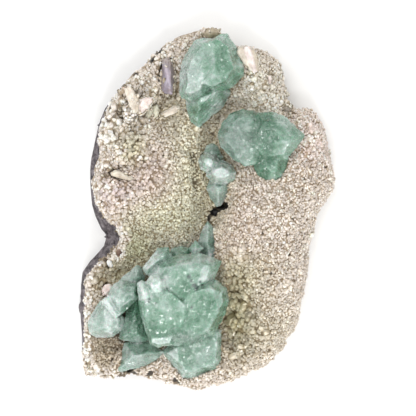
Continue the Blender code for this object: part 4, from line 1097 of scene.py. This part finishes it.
# %% Where the tablets stand
def seats(points, faces, spacing, chance):
    """(places, normals) spread over triangles, one in each cube `spacing` wide."""
    a, b, c = points[faces].transpose(1, 0, 2)
    area = np.linalg.norm(np.cross(b - a, c - a), axis=1) / 2
    draws = int(area.sum() / spacing**2 * 6)  # six for each cube, so that few stay empty
    drawn = chance.choice(len(faces), draws, p=area / area.sum())
    u, v = chance.random((2, len(drawn)))
    u, v = np.where(u + v > 1, (1 - u, 1 - v), (u, v))
    share = np.stack((1 - u - v, u, v), axis=1)[..., None]
    place = (points[faces[drawn]] * share).sum(axis=1)
    normal = (normals_of(points, faces)[faces[drawn]] * share).sum(axis=1)
    cube = np.floor(place / spacing).astype(int)
    _, kept = np.unique(cube, axis=0, return_index=True)
    return place[kept], normal[kept] / np.linalg.norm(normal[kept], axis=1, keepdims=True)


def in_the_open(place):
    """Whether a tablet has room: no basalt 0.6 mm around it and no crystal above."""
    if stone.find_nearest(Vector(place), 0.6)[0] is not None:
        return False
    return minerals.ray_cast(Vector(place), UP, 6.0)[0] is None


chance = np.random.default_rng(12)
SIZES = (  # spacing and length, mm; coarseness from and to; share kept
    (1.0, 1.5, -9.0, 0.65, 1), (1.5, 2.2, 0.55, 1.15, 1), (2.5, 2.9, 0.45, 1.1, 0.25),
    (2.3, 3.2, 1.1, 9.0, 1), (2.8, 4.3, 1.5, 9.0, 0.45),
)
found = []
for spacing, long, least, most, share in SIZES:
    place, normal = seats(*crust_mesh, spacing, chance)
    kept = np.array([in_the_open(p) for p in place.tolist()])
    rough = coarseness(place) + chance.normal(0, 0.08, len(place))
    kept &= (rough > least) & (rough < most)
    if share < 1:
        kept &= chance.random(len(place)) < share
    kept &= bared_and_shaded(place)[0] < chance.uniform(0.4, 0.7, len(place))
    found.append((place[kept], normal[kept], np.full(kept.sum(), long)))
    print(kept.sum(), "tablets", long, "mm long")
for points, faces, top in perches:  # some grow on the stilbites, most at their feet
    halves = np.vstack((faces[:, :3], faces[:, [0, 2, 3]]))
    place, normal = seats(points, halves, 1.2, chance)
    often = np.where(place[:, 2] < top - 2.8, 0.9, 0.03)
    kept = (normal[:, 2] > -0.3) & (chance.random(len(place)) < often)
    found.append((place[kept], normal[kept], np.full(kept.sum(), 1.6)))
KNOBS = (  # tablets that stand out: x, y and length, mm
    (10.4, -49.6, 4.6), (10.9, -66.0, 4.4), (8.6, -42.1, 3.6), (13.3, -56.7, 3.8),
    (9.7, -59.5, 3.6), (43.0, -22.2, 3.4), (41.6, -35.0, 3.2), (45.2, -12.5, 3.4),
    (17.7, 10.8, 2.8), (-50.0, -43.0, 3.4), (-47.5, -44.5, 2.6), (-24.0, -66.5, 3.2),
    (-20.5, -73.0, 3.2), (-16.5, -70.5, 3.0), (30.0, 34.0, 2.4),
)
ground = search_tree([crust_mesh])
for x, y, long in KNOBS:
    spot, facing, *_ = ground.ray_cast(Vector((x, y, 60.0)), DOWN)
    if spot:
        found.append((np.array([spot]), np.array([facing]), np.array([long])))
place, normal, length = (np.concatenate(column) for column in zip(*found))
print(len(place), "tablets in all")

# %% [markdown]
# Particles or geometry nodes could scatter the tablets; arrays keep every number in
# sight. One tablet of 18 points is the template, and all the copies in an area are made
# at once: scaled along three axes, turned to lean from the ground's normal, and sunk a
# little into the bed. Eight areas keep each piece light to handle.

# %% The tablets
COFFIN = np.array(((-0.30, -0.5), (0.32, -0.5), (0.5, 0.05), (0.24, 0.5), (-0.2, 0.5),
                   (-0.5, 0.0)))


def tablet(bevel):
    """A coffin-shaped tablet with bevelled faces: rings at x = -1/2, 0 and 1/2."""
    rings = [np.column_stack((np.full(6, x), COFFIN * shrink))
             for x, shrink in ((-0.5, bevel), (0.0, 1.0), (0.5, bevel))]
    faces = []
    for ring in (0, 6):
        for k in range(6):
            a, b = ring + k, ring + (k + 1) % 6
            faces += [(a, b, b + 6), (a, b + 6, a + 6)]
    for k in range(1, 5):
        faces += [(0, k + 1, k), (12, 12 + k, 13 + k)]
    return np.vstack(rings), np.array(faces)


def stand(place, normal, size, template, sink, lean, chance):
    """Copies of a template as one mesh: (points, faces, how far up its grain each point
    is, from 0 to 1). Its z axis leans from the normal, and it sinks into the crust."""
    count = len(place)
    z = normal + chance.normal(0, lean, (count, 3))
    z /= np.linalg.norm(z, axis=1, keepdims=True)
    x = np.cross(z, chance.normal(size=(count, 3)))
    x /= np.linalg.norm(x, axis=1, keepdims=True)
    axes = np.stack((x, np.cross(z, x), z), axis=1)
    corners, faces = template
    own = (corners[None] * size[:, None]) @ axes
    points = place[:, None] + normal[:, None] * sink * size[:, None, 2:] + own
    up = ((points - place[:, None]) * normal[:, None]).sum(axis=2) / size[:, None, 2]
    faces = (faces[None] + np.arange(count)[:, None, None] * len(corners)).reshape(-1, 3)
    return points.reshape(-1, 3), faces, np.clip(up.ravel() / 0.75, 0, 1)


x, y = place[:, 0], place[:, 1]
AREAS = {
    "right_far": (x > 8) & (y > 36), "right": (x > 8) & (y > 8) & (y <= 36),
    "right_near": (x > 8) & (y <= 8) & (y > -32), "front_right": (x > 8) & (y <= -32),
    "front": (x <= 8) & (x > -24) & (y < -14), "front_left": (x <= -24) & (y < -14),
    "left": (x <= 8) & (y >= -14) & (y < 34), "far": (x <= 8) & (y >= 34),
}
for number, (area, mine) in enumerate(AREAS.items()):
    chance = np.random.default_rng(30 + number)
    here, up, long = place[mine], normal[mine], length[mine]
    steep = 1 - np.clip(up[:, 2:], 0, 1)  # on the rim they lie closer to the ground
    here = here - up * steep * 0.8 * trimmed(here)[:, None]
    size = long[:, None] * np.exp(chance.normal(0, 0.24, (len(here), 3))) * (0.64, 0.95, 1.0)
    size *= 1 - 0.25 * steep * trimmed(here)[:, None]
    points, faces, tip = stand(here, up, size, tablet(0.66), -0.04, 0.65, chance)
    lump_light_dip_shade = 0.2 * np.clip(lumps_at(here), -1.2, 1)[:, None]  # painted light and shade: lumps are paler than dips
    tone_shade_and_glint = np.exp(chance.normal(0, 0.14, (len(here), 1)) + lump_light_dip_shade)
    tone_shade_and_glint = np.where(chance.random((len(here), 1)) < 0.04, 1.35, tone_shade_and_glint)  # a few white ones: painted glints
    hue = np.repeat(np.clip(stains_shade_and_rim_light(here) * tone_shade_and_glint, 0, 0.97), 18, axis=0)
    piece(f"heulandite_druse_{area}", points, faces, druse, "heulandite", sharp=25,
          tip=tip, hue=hue)

# %% [markdown]
# A plain white table and soft light from all round, as in a light tent. A window lamp
# almost overhead, a little to the far left, models the lobes. A low strip in front and a
# small spark above it are what the faces that tip towards them reflect.

# %% Table and light
table_mesh = bpy.data.meshes.new("table")
table_mesh.from_pydata([(-2, -2, 0), (2, -2, 0), (2, 2, 0), (-2, 2, 0)], [], [(0, 1, 2, 3)])
table = bpy.data.objects.new("table", table_mesh)
bpy.context.scene.collection.objects.link(table)
paper, tree, shader = finish("paper_matt")
surface(shader, Base_Color=rgba("f7f7f6"), Roughness=0.9)
table_mesh.materials.append(paper)

world = bpy.data.worlds.new("light_tent")
world.use_nodes = True
world.node_tree.nodes["Background"].inputs["Color"].default_value = (1, 1, 1, 1)
world.node_tree.nodes["Background"].inputs["Strength"].default_value = 0.80
bpy.context.scene.world = world


def lamp(name, place, size, watts):
    """A rectangular soft lamp at a place in metres, aimed at the specimen's middle."""
    data = bpy.data.lights.new(name, "AREA")
    data.shape, data.size, data.size_y, data.energy = "RECTANGLE", *size, watts
    made = bpy.data.objects.new(name, data)
    made.location = place
    aim = Vector((0, 0, 0.02)) - Vector(place)
    made.rotation_euler = aim.to_track_quat("-Z", "Y").to_euler()
    bpy.context.scene.collection.objects.link(made)


lamp("window", (-0.16, 0.20, 0.70), (0.45, 0.45), 2.2)
lamp("strip", (0.05, -0.55, 0.38), (0.36, 0.09), 2.0)
lamp("spark", (0.06, -0.28, 0.78), (0.10, 0.10), 0.9)
bpy.context.scene.view_settings.view_transform = "Standard"
